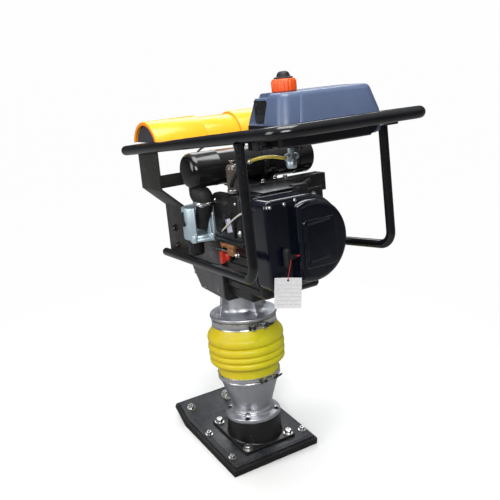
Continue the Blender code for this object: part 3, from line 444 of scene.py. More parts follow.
# ---------------------------------------------------------------- finishes
class Graph:
    """A small helper that adds and wires the nodes of one material."""

    def __init__(self, name):
        self.mat = bpy.data.materials.new(name)
        self.mat.use_nodes = True
        self.tree = self.mat.node_tree
        self.shader = self.tree.nodes["Principled BSDF"]
        self.place = self.add("ShaderNodeTexCoord").outputs["Object"]

    def add(self, kind, **settings):
        node = self.tree.nodes.new(kind)
        for key, value in settings.items():
            setattr(node, key, value)
        return node

    def wire(self, output, socket):
        self.tree.links.new(output, socket)

    def noise(self, scale, detail=4.0, rough=0.55, stretch=None):
        node = self.add("ShaderNodeTexNoise")
        for key, number in (("Scale", scale), ("Detail", detail), ("Roughness", rough)):
            node.inputs[key].default_value = number
        place = self.place
        if stretch:
            mapping = self.add("ShaderNodeMapping")
            mapping.inputs["Scale"].default_value = stretch
            self.wire(place, mapping.inputs["Vector"])
            place = mapping.outputs["Vector"]
        self.wire(place, node.inputs["Vector"])
        return node.outputs["Fac"]

    def ramp(self, value, low, high, start=0.0, end=1.0):
        """value between low and high, remapped smoothly to start and end."""
        node = self.add("ShaderNodeMapRange", interpolation_type="SMOOTHSTEP")
        self.wire(value, node.inputs["Value"])
        for key, number in (("From Min", low), ("From Max", high), ("To Min", start),
                ("To Max", end)):
            node.inputs[key].default_value = number
        return node.outputs["Result"]

    def times(self, one, two, operation="MULTIPLY"):
        node = self.add("ShaderNodeMath", operation=operation)
        for socket, value in zip(node.inputs, (one, two)):
            if isinstance(value, (int, float)):
                socket.default_value = value
            else:
                self.wire(value, socket)
        return node.outputs[0]

    def blend(self, share, one, two):
        node = self.add("ShaderNodeMix", data_type="RGBA")
        if isinstance(share, (int, float)):
            node.inputs[0].default_value = share
        else:
            self.wire(share, node.inputs[0])
        for socket, value in ((node.inputs[6], one), (node.inputs[7], two)):
            if isinstance(value, tuple):
                socket.default_value = (*value, 1.0)
            else:
                self.wire(value, socket)
        return node.outputs[2]

    def bump(self, height, depth, before=None):
        node = self.add("ShaderNodeBump")
        node.inputs["Strength"].default_value = 1.0
        node.inputs["Distance"].default_value = depth
        self.wire(height, node.inputs["Height"])
        if before:
            self.wire(before, node.inputs["Normal"])
        return node.outputs["Normal"]


def shade(colour, factor):
    """The colour made lighter or darker."""
    return tuple(min(1.0, c * factor) for c in colour)


def finish(name, colour, rough, metal=0.0, vary=0.18, rough_vary=0.1, grain=900.0,
        grain_depth=0.00008, swell=40.0, swell_depth=0.0002, wear=None, wear_amount=0.5, dust=0.0,
        coat=0.0, specular=0.5, stretch=None, streaks=0.0):
    """A surface with colour drift, uneven gloss, fine grain, worn edges and a little dust."""
    g = Graph(name)
    drift = g.noise(9.0, 5.0, 0.6)
    tint = g.ramp(drift, 0.3, 0.7)
    base = g.blend(tint, shade(colour, 1 - vary), shade(colour, 1 + vary))
    patches = g.noise(38.0, 6.0, 0.65, stretch)
    gloss = g.ramp(patches, 0.25, 0.75, max(0.03, rough - rough_vary), min(1, rough + rough_vary))
    if streaks:
        lines = g.noise(60.0, 8.0, 0.7, stretch or (1.0, 1.0, 14.0))
        base = g.blend(g.ramp(lines, 0.52, 0.72, 0.0, streaks), base, shade(colour, 1.7))
        gloss = g.times(gloss, g.ramp(lines, 0.4, 0.7, 0.85, 1.2))
    if wear:
        edge = g.add("ShaderNodeNewGeometry").outputs["Pointiness"]
        chips = g.noise(210.0, 5.0, 0.7)
        rubbed = g.times(g.ramp(edge, 0.53, 0.6), g.ramp(chips, 0.5, 0.62, 0.0, wear_amount))
        base = g.blend(rubbed, base, wear)
    if dust:
        normal = g.add("ShaderNodeNewGeometry").outputs["Normal"]
        split = g.add("ShaderNodeSeparateXYZ")
        g.wire(normal, split.inputs[0])
        up = g.ramp(split.outputs["Z"], 0.35, 1.0)
        film = g.times(up, g.ramp(g.noise(24.0, 7.0, 0.7), 0.38, 0.7, 0.0, dust))
        base = g.blend(film, base, (0.42, 0.4, 0.37))
        gloss = g.times(gloss, g.ramp(film, 0.0, 1.0, 1.0, 2.2))
    g.wire(base, g.shader.inputs["Base Color"])
    g.wire(gloss, g.shader.inputs["Roughness"])
    g.shader.inputs["Metallic"].default_value = metal
    g.shader.inputs["Specular IOR Level"].default_value = specular
    if coat:
        g.shader.inputs["Coat Weight"].default_value = coat
        g.shader.inputs["Coat Roughness"].default_value = 0.12
    relief = g.bump(g.noise(swell, 3.0, 0.5), swell_depth)
    relief = g.bump(g.noise(grain, 3.0, 0.6), grain_depth, relief)
    g.wire(relief, g.shader.inputs["Normal"])
    return g.mat


GLOSS_BLACK = finish("gloss_black_enamel", (0.0052, 0.0055, 0.007), 0.15, vary=0.25,
    rough_vary=0.04, grain=700, grain_depth=0.00003, swell=150, swell_depth=0.00008,
    wear=(0.06, 0.06, 0.06), wear_amount=0.3, dust=0.01)
SATIN_BLACK = finish("satin_black_enamel", (0.006, 0.0062, 0.0072), 0.34, vary=0.3, grain=800,
    grain_depth=0.00006, swell=90, swell_depth=0.0001, wear=(0.09, 0.09, 0.09), wear_amount=0.4,
    dust=0.02, specular=0.4)
CHARCOAL = finish("charcoal_powder_coat", (0.017, 0.0163, 0.0155), 0.42, vary=0.15, grain=1500,
    grain_depth=0.00007, wear=(0.12, 0.12, 0.11), dust=0.02, specular=0.4)
CASE_GREY = finish("grey_cast_enamel", (0.08, 0.08, 0.086), 0.48, vary=0.2, grain=500,
    grain_depth=0.00015, swell=120, swell_depth=0.0002, wear=(0.25, 0.25, 0.25), dust=0.06,
    specular=0.4)
COVER_BLACK = finish("blue_black_moulded_cover", (0.003, 0.004, 0.0085), 0.13, vary=0.25,
    rough_vary=0.05, grain=1200, grain_depth=0.00002, swell=60, swell_depth=0.00012,
    wear=(0.05, 0.06, 0.09), wear_amount=0.3, dust=0.005, coat=0.2)
RUBBER = finish("black_rubber", (0.007, 0.007, 0.0075), 0.56, vary=0.3, grain=1300,
    grain_depth=0.0001, dust=0.03, specular=0.35)
BOARD = finish("pressed_shoe_board", (0.0075, 0.0075, 0.008), 0.58, vary=0.35, grain=420,
    grain_depth=0.0002, swell=30, swell_depth=0.0006, stretch=(1.0, 0.15, 6.0),
    wear=(0.07, 0.066, 0.062), dust=0.04, specular=0.35)
SHOE_STEEL = finish("shoe_plate_enamel", (0.013, 0.0145, 0.0195), 0.36, vary=0.3, rough_vary=0.13,
    grain=500, grain_depth=0.0001, swell=25, swell_depth=0.0004, wear=(0.15, 0.15, 0.16),
    wear_amount=0.5, dust=0.04)
CAST_ALUMINIUM = finish("cast_aluminium", (0.55, 0.56, 0.6), 0.4, 1.0, vary=0.12, rough_vary=0.12,
    grain=650, grain_depth=0.00022, swell=110, swell_depth=0.00025, wear=(0.75, 0.76, 0.8))
DARK_ALUMINIUM = finish("shaded_cast_aluminium", (0.26, 0.27, 0.3), 0.44, 1.0, vary=0.14,
    rough_vary=0.12, grain=650, grain_depth=0.00025, swell=90, swell_depth=0.0003,
    wear=(0.55, 0.56, 0.6))
BRUSHED = finish("brushed_band_steel", (0.58, 0.58, 0.6), 0.3, 1.0, vary=0.08, rough_vary=0.12,
    grain=500, grain_depth=0.00004, stretch=(1.0, 1.0, 30.0), streaks=0.25)
ZINC = finish("zinc_plated_steel", (0.46, 0.46, 0.45), 0.28, 1.0, vary=0.12, rough_vary=0.12,
    grain=900, grain_depth=0.00006, wear=(0.85, 0.85, 0.82), dust=0.0)
DARK_STEEL = finish("oiled_dark_steel", (0.055, 0.055, 0.058), 0.34, 1.0, vary=0.25, grain=900,
    grain_depth=0.00008, wear=(0.45, 0.45, 0.45))
MACHINED = finish("machined_steel", (0.46, 0.46, 0.47), 0.26, 1.0, vary=0.08, rough_vary=0.1,
    grain=1200, grain_depth=0.00003, streaks=0.2)
CARB_METAL = finish("pale_zinc_casting", (0.44, 0.54, 0.6), 0.42, 0.7, vary=0.12, rough_vary=0.1,
    grain=700, grain_depth=0.00018, swell=130, swell_depth=0.0002, wear=(0.8, 0.84, 0.86))
SLATE = finish("slate_moulded_tank", (0.072, 0.1, 0.178), 0.36, vary=0.08, rough_vary=0.07,
    grain=1500, grain_depth=0.00006, swell=22, swell_depth=0.0005, wear=(0.3, 0.35, 0.45),
    wear_amount=0.5)
ORANGE = finish("orange_cap_plastic", (0.8, 0.085, 0.006), 0.38, vary=0.12, grain=1200,
    grain_depth=0.00005, wear=(0.95, 0.35, 0.1))
HOOD_YELLOW = finish("yellow_bumper_plastic", (0.92, 0.41, 0.01), 0.26, vary=0.06, rough_vary=0.07,
    grain=900, grain_depth=0.00005, swell=18, swell_depth=0.0006, wear=(1.0, 0.55, 0.1))
# Painted shade: a darker orange copy of the bumper's yellow, for its shaded faces.
HOOD_SHADE_ORANGE = finish("painted_shade_bumper_orange", (0.9, 0.25, 0.008), 0.3, vary=0.08, grain=900,
    grain_depth=0.00005)
HOOD_CORE = finish("slate_bumper_core", (0.03, 0.034, 0.045), 0.55, vary=0.2, grain=600,
    grain_depth=0.0002)
RED = finish("red_knob_plastic", (0.55, 0.035, 0.018), 0.34, vary=0.15, grain=1100,
    grain_depth=0.00006, wear=(0.85, 0.25, 0.15))
COPPER = finish("coppery_bracket", (0.44, 0.21, 0.1), 0.42, 0.85, vary=0.3, rough_vary=0.15,
    grain=500, grain_depth=0.00015)
LABEL = finish("blank_pale_plate", (0.42, 0.42, 0.52), 0.45, vary=0.12, grain=900,
    grain_depth=0.00005)
CREAM = finish("cream_paint", (0.55, 0.53, 0.46), 0.4, vary=0.12, grain=900, grain_depth=0.00005)


def bellows_finish():
    """Yellow moulded rubber with painted shade: brown in the folds and darker on the left side; a
    little grubby.
    """
    g = Graph("yellow_bellows_rubber")
    split = g.add("ShaderNodeSeparateXYZ")
    g.wire(g.place, split.inputs[0])
    edge = g.add("ShaderNodeNewGeometry").outputs["Pointiness"]
    # Painted shade: concave folds, found by pointiness, are turned brown.
    fold = g.ramp(edge, 0.42, 0.5)
    base_yellow = g.blend(g.ramp(g.noise(11.0, 5.0), 0.3, 0.7), (0.66, 0.6, 0.01), (0.8, 0.76, 0.016))
    # Painted shade: the left side is browner, fully so left of x = -0.11, fading out by x = 0.02.
    shaded_left_side = g.blend(g.ramp(split.outputs["X"], -0.11, 0.02), (0.66, 0.52, 0.01), base_yellow)
    base = g.blend(fold, (0.36, 0.17, 0.006), shaded_left_side)
    smudge = g.ramp(g.noise(26.0, 8.0, 0.7), 0.55, 0.78, 0.0, 0.28)
    g.wire(g.blend(smudge, base, (0.34, 0.27, 0.05)), g.shader.inputs["Base Color"])
    g.wire(g.ramp(g.noise(40.0, 6.0), 0.3, 0.7, 0.34, 0.52), g.shader.inputs["Roughness"])
    g.shader.inputs["Subsurface Weight"].default_value = 0.08
    g.shader.inputs["Subsurface Scale"].default_value = 0.004
    relief = g.bump(g.noise(55.0, 3.0), 0.0004)
    relief = g.bump(g.noise(900.0, 3.0), 0.00006, relief)
    g.wire(relief, g.shader.inputs["Normal"])
    return g.mat


def card_finish():
    """White card with faint fibres and a few ruled lines, nothing written on it."""
    g = Graph("blank_card")
    split = g.add("ShaderNodeSeparateXYZ")
    g.wire(g.place, split.inputs[0])
    wave = g.add("ShaderNodeMath", operation="PINGPONG")
    wave.inputs[1].default_value = 0.005
    g.wire(split.outputs["Z"], wave.inputs[0])
    line = g.ramp(wave.outputs[0], 0.0002, 0.0007, 0.62, 0.0)
    inside = g.times(g.ramp(split.outputs["X"], -0.0985, -0.098),
        g.ramp(split.outputs["X"], -0.05, -0.0495, 1.0, 0.0))
    low = g.ramp(split.outputs["Z"], 0.628, 0.6285, 1.0, 0.0)
    line = g.times(g.times(line, inside), low)
    paper = g.blend(g.ramp(g.noise(160.0, 6.0), 0.3, 0.7), (0.66, 0.655, 0.68), (0.76, 0.755, 0.77))
    g.wire(g.blend(line, paper, (0.3, 0.28, 0.34)), g.shader.inputs["Base Color"])
    g.wire(g.ramp(g.noise(300.0), 0.3, 0.7, 0.55, 0.75), g.shader.inputs["Roughness"])
    g.wire(g.bump(g.noise(700.0), 0.00008), g.shader.inputs["Normal"])
    return g.mat


def clear_finish(name, colour, rough, through, vary=0.1):
    """Cloudy see-through plastic."""
    g = Graph(name)
    base = g.blend(g.ramp(g.noise(60.0, 5.0), 0.3, 0.7), shade(colour, 1 - vary),
        shade(colour, 1 + vary))
    g.wire(base, g.shader.inputs["Base Color"])
    g.wire(g.ramp(g.noise(90.0, 5.0), 0.3, 0.7, rough * 0.6, rough * 1.4),
        g.shader.inputs["Roughness"])
    g.shader.inputs["Transmission Weight"].default_value = through
    g.shader.inputs["IOR"].default_value = 1.45
    g.wire(g.bump(g.noise(300.0), 0.00005), g.shader.inputs["Normal"])
    return g.mat


CANISTER = finish("canister_enamel", (0.0055, 0.0055, 0.006), 0.18, vary=0.3, rough_vary=0.08,
    grain=900, grain_depth=0.00003, swell=40, swell_depth=0.00015, wear=(0.05, 0.05, 0.05),
    dust=0.005)
BELLOWS = bellows_finish()
CARD = card_finish()
FILTER_CLEAR = clear_finish("smoky_filter_bowl", (0.135, 0.115, 0.1), 0.12, 0.55)
HOSE = clear_finish("fuel_hose_plastic", (0.62, 0.5, 0.08), 0.2, 0.35)
STRING = finish("red_string", (0.42, 0.012, 0.02), 0.75, vary=0.25, grain=3000, grain_depth=0.0002)


# ---------------------------------------------------------------- shoe and foot
def shoe():
    """The board, the plate with a thin wear plate on it, and the nuts."""
    repeat_node("shoe_board", BOARD, "foot", 0.0022, 3)
    repeat_node("shoe_plate", SHOE_STEEL, "foot", 0.0014)
    inner = block((-0.1225, -0.0985, PLATE_TOP - 0.0006), (0.1225, 0.16, PLATE_TOP + 0.0013),
        0.0007)
    show("shoe_wear_plate", inner, SHOE_STEEL, "foot", FLAT)
    nuts = [hex_bolt((x, y, PLATE_TOP + 0.0013), UP, 0.0145, 0.0085, 0.0115) for x, y in SHOE_BOLTS]
    slope = math.atan2(0.034, 0.066)
    up = Vector((0, -math.sin(slope), math.cos(slope)))
    for x, washer in ((-0.108, 0.0125), (0.02, 0.0185), (0.108, 0.0125)):
        at = Vector((x, 0.176, 0)) + Vector((0, math.cos(slope), math.sin(slope))) * 0.041
        nuts.append(hex_bolt(at + up * 0.0272, up, 0.015, 0.0085, washer))
    show("shoe_nuts", together(*nuts), ZINC, "foot", FLAT, sharp=30)


def foot():
    """The black casting: a flat base and a round boss that leans with the leg."""
    base = block((-0.085, -0.079, PLATE_TOP + 0.0013), (0.085, 0.109, BASE_TOP), 0.0022, 3)
    boss = lathe(eased([(0, 0.02), (BOSS_RADIUS, 0.02), (BOSS_RADIUS, BOSS_TOP), (0, BOSS_TOP)],
        0.0022, 3), segments=96)
    boss.transform(LEG)
    below = PLATE_TOP + 0.0016
    cut = bmesh.ops.bisect_plane(boss, geom=boss.verts[:] + boss.edges[:] + boss.faces[:],
        plane_co=(0, 0, below), plane_no=UP, clear_inner=True)
    bmesh.ops.contextual_create(boss, geom=[e for e in cut["geom_cut"]
        if isinstance(e, bmesh.types.BMEdge)])
    fillet = lathe([(BOSS_RADIUS - 0.001, 0.0), (BOSS_RADIUS + 0.005, 0.0),
        (BOSS_RADIUS + 0.002, 0.0012), (BOSS_RADIUS + 0.0004, 0.004), (BOSS_RADIUS - 0.001, 0.005)],
        (0, 0.0065, BASE_TOP - 0.0006), segments=96)
    skin("foot_casting", together(base, boss, fillet), SATIN_BLACK, "foot", FLAT)
    for name, (x, y) in FOOT_BOLTS.items():
        bolt = hex_bolt((x, y, BASE_TOP), UP, 0.019, 0.0105, 0.0145, turn=18)
        stub = lathe(puck(0.0052, 0.0075, 0.0012, 3), (x, y, BASE_TOP + 0.004), UP, 24)
        skin("foot_bolt_" + name, together(bolt, stub), ZINC, "foot", FLAT, sharp=30)


def cone():
    """The cast sleeve under the boot, with its four screws in round pockets."""
    profile = [(0.0475, SLEEVE_LOW), (0.0795, SLEEVE_LOW), (0.0795, 0.103), (0.078, 0.1045),
        (0.064, 0.1088), (0.061, 0.1115), (0.0608, 0.1165), (0.0585, 0.1185), (0.056, 0.12),
        (0.056, 0.124), (0.0835, 0.2085), (0.0862, 0.212), (0.0862, 0.215), (SEAT_RADIUS, 0.216),
        (SEAT_RADIUS, CONE_TOP), (0.0795, CONE_TOP), (0.0795, 0.208), (0.0505, 0.125),
        (0.0475, 0.12)]
    body = lathe(eased(profile, 0.0012, 2), segments=96)
    cutters = []
    screws = []
    for i in range(4):
        a = math.radians(45 + 90 * i)
        at = Vector((math.cos(a), math.sin(a), 0))
        pocket = bmesh.new()
        bmesh.ops.create_uvsphere(pocket, u_segments=24, v_segments=14, radius=0.0125)
        pocket.transform(Matrix.Translation(at * 0.07 + Vector((0, 0, 0.113)))
            @ Matrix.Diagonal((1, 1, 1.05, 1)))
        cutters.append(pocket)
        screws.append(socket_screw(at * 0.07 + Vector((0, 0, 0.099)), UP, 0.0068, 0.0085))
    skin("cone_sleeve", carved(body, *cutters), CAST_ALUMINIUM, "foot", sharp=30)
    show("flange_screws", together(*screws), DARK_STEEL, "foot")


def bellows():
    """Outer skin through the folds, then back down inside, so that the boot has a wall."""
    folds = ((0.34, 0.1092, 0.0145, 0.0985), (0.314, 0.11, 0.0125, 0.1015),
        (0.2925, 0.1092, 0.009, 0.1005), (0.2725, 0.1078, 0.0105, 0.0935))
    outer = [(0.0905, 0.3935), (0.0906, 0.3745), (0.0918, 0.3715), (0.1, 0.359)]
    for height, radius, reach, waist in folds:
        top = outer[-1][0]
        for k in range(1, 10):
            a = math.pi * k / 9
            side = top if a < math.pi / 2 else waist
            lift = math.sin(a) ** 0.8
            outer.append((side + (radius - side) * lift, height + reach * math.cos(a)))
    outer += [(0.0905, 0.2585), (0.0885, 0.252), (0.0876, 0.242), (0.0876, 0.2175)]
    inner = [(SEAT_RADIUS + 0.0004, 0.2175), (SEAT_RADIUS + 0.0004, 0.24), (0.091, 0.264),
        (0.098, 0.276), (0.098, 0.34), (0.088, 0.362), (0.088, 0.3935)]
    obj = skin("bellows", lathe(outer + inner, segments=128), BELLOWS, None,
        sharp=60)
    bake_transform(obj)


def band_clamp(name, low, high, radius, body, facing):
    """A bright band with rolled edges, its two looped ends drawn up by a cross bolt."""
    profile = [(radius, low), (radius + 0.0014, low - 0.0002), (radius + 0.0024, low + 0.001),
        (radius + 0.0015, low + 0.0024), (radius + 0.0015, high - 0.0024),
        (radius + 0.0024, high - 0.001), (radius + 0.0014, high + 0.0002), (radius, high)]
    band = lathe(profile, segments=128)
    skin(name, band, BRUSHED, body)
    middle = (low + high) / 2
    turn = Matrix.Rotation(math.radians(facing), 4, "Z")
    tall = (high - low) / 2 - 0.001
    out = radius + 0.007
    bright = []
    dark = []
    for side in (-1, 1):
        loop = lathe(eased([(0.0026, -tall), (0.0056, -tall), (0.0056, tall), (0.0026, tall)],
            0.0004), (out, side * 0.0165, middle), UP, 24)
        strap = block((radius + 0.0012, side * 0.0165 - 0.013, middle - tall + 0.002),
            (radius + 0.0028, side * 0.0165 + 0.013, middle + tall - 0.002), 0.0005)
        bright += [loop, strap]
        dark.append(block((out - 0.004, side * 0.0165 - 0.0045, middle - tall * 0.55),
            (out + 0.0066, side * 0.0165 + 0.0045, middle + tall * 0.55), 0.0012))
    bright.append(bar((out, -0.029, middle), (out, 0.027, middle), 0.003, 20))
    dark.append(hex_bolt((out, 0.023, middle), (0, 1, 0), 0.0105, 0.007, dish=False))
    lever = pipe(smooth_path([(out + 0.001, 0.024, middle), (out + 0.004, 0.033, middle + 0.001),
        (out + 0.002, 0.043, middle + 0.002)]), lambda t: 0.0036 - 0.0012 * t, 12)
    dark += [lever, hex_bolt((out, -0.026, middle), REAR, 0.01, 0.0055, dish=False)]
    show(name + "_latch", moved(together(*bright), turn), ZINC, body)
    show(name + "_bolt", moved(together(*dark), turn), DARK_STEEL, body)


def guide():
    """The cast neck under the crankcase, with its skirt, ribs and square collar."""
    profile = [(0.0475, 0.3), (0.0525, 0.3), (0.0525, 0.37), (0.08, 0.39), (0.0815, 0.364),
        (0.0873, 0.364), (0.0873, 0.3985), (0.0945, 0.399), (0.0955, 0.4005), (0.0955, 0.406),
        (0.094, 0.408), (0.089, 0.409), (0.072, 0.412), (0.06, 0.4155), (0.0555, 0.42),
        (0.0535, 0.428), (0.0535, NECK_TOP), (0.0475, NECK_TOP)]
    neck = lathe(eased(profile, 0.0012), segments=96)
    ribs = []
    for quarter in range(4):
        rib = slab([(0.05, 0.403), (0.08, 0.404), (0.078, 0.413), (0.072, 0.43), (0.065, NECK_TOP),
            (0.05, NECK_TOP)], -0.0046, 0.0046, bevel=0.0022, segments=3)
        ribs.append(moved(rib, Matrix.Rotation(math.radians(90 * quarter), 4, "Z")))
    collar = slab([(-0.072, -0.066), (0.072, -0.066), (0.072, 0.066), (-0.072, 0.066)],
        NECK_TOP - 0.0065, NECK_TOP - 0.0003, "Z", 0.0022)
    collar = carved(collar, bar((0, 0, NECK_TOP - 0.02), (0, 0, NECK_TOP + 0.02), 0.05, 96))
    body = carved(neck, *ribs, collar, operation="UNION")
    skin("guide_cylinder", body, CAST_ALUMINIUM, sharp=32)


# ---------------------------------------------------------------- crankcase and engine
def crankcase():
    """The grey case, its cover, side plates and screws."""
    repeat_node("crankcase", CASE_GREY, width=0.003, segments=3)
    repeat_node("crankcase_cover", SATIN_BLACK, width=0.0018)
    bolts = []
    for side in (-1, 1):
        for y, z in ((0.03, 0.492), (0.078, 0.528), (0.108, 0.6), (0.104, 0.664), (-0.045, 0.5),
                (-0.045, 0.69)):
            bolts.append(socket_screw((side * 0.0936, y, z), (side, 0, 0), 0.005, 0.0035))
    for x in (-0.042, 0.042):
        bolts.append(hex_bolt((x, CASE_REAR - 0.0002, 0.4845), REAR, 0.015, 0.0065, 0.0145))
    show("case_screws", together(*bolts), ZINC, sharp=30)
    outline = [(-0.056, 0.486), (0.05, 0.494), (0.088, 0.542), (0.1155, 0.602), (0.1155, 0.664),
        (0.1, 0.691), (-0.056, 0.697)]
    plates = [slab(outline, *ends, bevel=0.0008) for ends in ((0.093, 0.0952), (-0.0952, -0.093))]
    show("case_side_plates", together(*plates), CASE_GREY)


def engine():
    """Cylinder block and head, with the plug, its lead and the coil."""
    repeat_node("engine_block", SATIN_BLACK, width=0.0025, segments=3)
    repeat_node("cylinder_head", DARK_ALUMINIUM, width=0.0006)
    ribs = [block((x, -0.235, 0.5328 + 0.025 * k), (x + 0.0026, -0.1, 0.5372 + 0.025 * k), 0.001)
        for k in range(6) for x in (-0.0888, 0.0862)]
    show("block_ribs", together(*ribs), SATIN_BLACK)

    profile = [(0, 0), (0.0055, 0), (0.0055, 0.012), (0.0095, 0.012), (0.0095, 0.022),
        (0.0055, 0.024), (0.0042, 0.045), (0, 0.045)]
    skin("spark_plug", lathe(eased(profile), (0.0765, -0.17, 0.745), (1, 0, 0.25), 32), ZINC)
    boot = smooth_path([(0.101, -0.17, 0.751), (0.12, -0.17, 0.756), (0.129, -0.178, 0.765),
        (0.124, -0.196, 0.776), (0.102, -0.215, 0.779), (0.072, -0.232, 0.7745)])
    show("spark_lead", pipe(boot, lambda t: 0.0072 if t < 0.3 else 0.0036, 16), RUBBER)
    coil = together(block((0.03, -0.256, 0.742), (0.074, -0.236, 0.782), 0.003, 3),
        block((0.036, -0.262, 0.748), (0.044, -0.236, 0.776), 0.001))
    show("ignition_coil", coil, RUBBER)


def left_shroud():
    """The black cowl over the cylinder's left side, with the controls that it carries."""
    cowl = block((-0.118, -0.236, 0.656), (-0.0865, -0.1, 0.775), 0.01, 4)
    rim = block((-0.1205, -0.238, 0.65), (-0.0865, -0.098, 0.662), 0.0025, 2)
    skin("cylinder_shroud", together(cowl, rim), SATIN_BLACK)
    plate = block((-0.124, -0.208, 0.67), (-0.1185, -0.138, 0.712), 0.0012)
    show("governor_plate", plate, SATIN_BLACK)
    label = block((-0.1252, -0.2, 0.684), (-0.124, -0.176, 0.718), 0.0004)
    label = moved(label, Matrix.Translation((-0.1246, -0.188, 0.701))
        @ Matrix.Rotation(math.radians(-12), 4, "X") @ Matrix.Translation((0.1246, 0.188, -0.701)))
    show("blank_plate", label, LABEL)
    screws = [domed_screw((-0.1204, -0.124, 0.679), LEFT, 0.0068, 0.004, 0.0085),
        domed_screw((-0.1204, -0.227, 0.685), LEFT, 0.0072, 0.0045, 0.009),
        domed_screw((-0.118, -0.215, 0.756), LEFT, 0.0042, 0.0028),
        domed_screw((-0.118, -0.118, 0.758), LEFT, 0.0042, 0.0028)]
    show("shroud_screws", together(*screws), ZINC, sharp=30)
    pull = pipe(smooth_path([(-0.1275, -0.146, 0.678), (-0.129, -0.19, 0.7035),
        (-0.1275, -0.236, 0.73), (-0.118, -0.262, 0.743)]), 0.0022, 12)
    show("governor_link", pull, CREAM)
    clasp = together(block((-0.1205, -0.19, 0.6385), (-0.0865, -0.124, 0.65), 0.002, 2),
        block((-0.1225, -0.188, 0.621), (-0.11, -0.162, 0.64), 0.002, 2),
        bar((-0.124, -0.14, 0.644), (-0.11, -0.14, 0.644), 0.006, 24))
    show("copper_bracket", clasp, COPPER)
    rod = together(pipe(smooth_path([(-0.118, -0.056, 0.63), (-0.12, -0.11, 0.631),
        (-0.119, -0.16, 0.63), (-0.116, -0.198, 0.628)]), 0.0019, 12),
        hex_bolt((-0.116, -0.206, 0.628), (-1, 0.2, 0), 0.011, 0.007, 0.008))
    show("throttle_rod", rod, ZINC, sharp=30)


def fan_outline(grow=0.0):
    """The fan housing seen from the rear: round on the right, square on the left."""
    radius = FAN_RADIUS + grow
    left = -0.106 - grow
    top = FAN_MIDDLE[1] + radius
    low = FAN_MIDDLE[1] - radius
    corner = 0.018
    return (arc(FAN_MIDDLE, radius, -90, 90, 48)
        + arc((left + corner, top - corner), corner, 90, 180, 10)
        + arc((left + corner, low + corner), corner, 180, 270, 10))


def rounded_rear(outline_at, rear, front, radius, steps=6):
    """A moulding whose rear rim rolls over: each ring is the outline drawn in a little."""
    rings = [[(x, front, z) for x, z in outline_at(0.0)]]
    for k in range(steps + 1):
        a = 0.5 * math.pi * k / steps
        depth = rear + radius * (1 - math.sin(a))
        rings.append([(x, depth, z) for x, z in outline_at(radius * (math.cos(a) - 1))])
    return stacked(rings)


def starter_outline(grow):
    """The starter cover seen from the rear: a circle cut off straight on the left."""
    radius = 0.1 + grow
    start = math.degrees(math.acos((-0.044 - grow) / radius))
    points = arc(FAN_MIDDLE, radius, -start, start, 60)
    foot, head = points[0], points[-1]
    side = [(foot[0], head[1] + (foot[1] - head[1]) * t) for t in (0.02, 0.5, 0.98)]
    return points + side


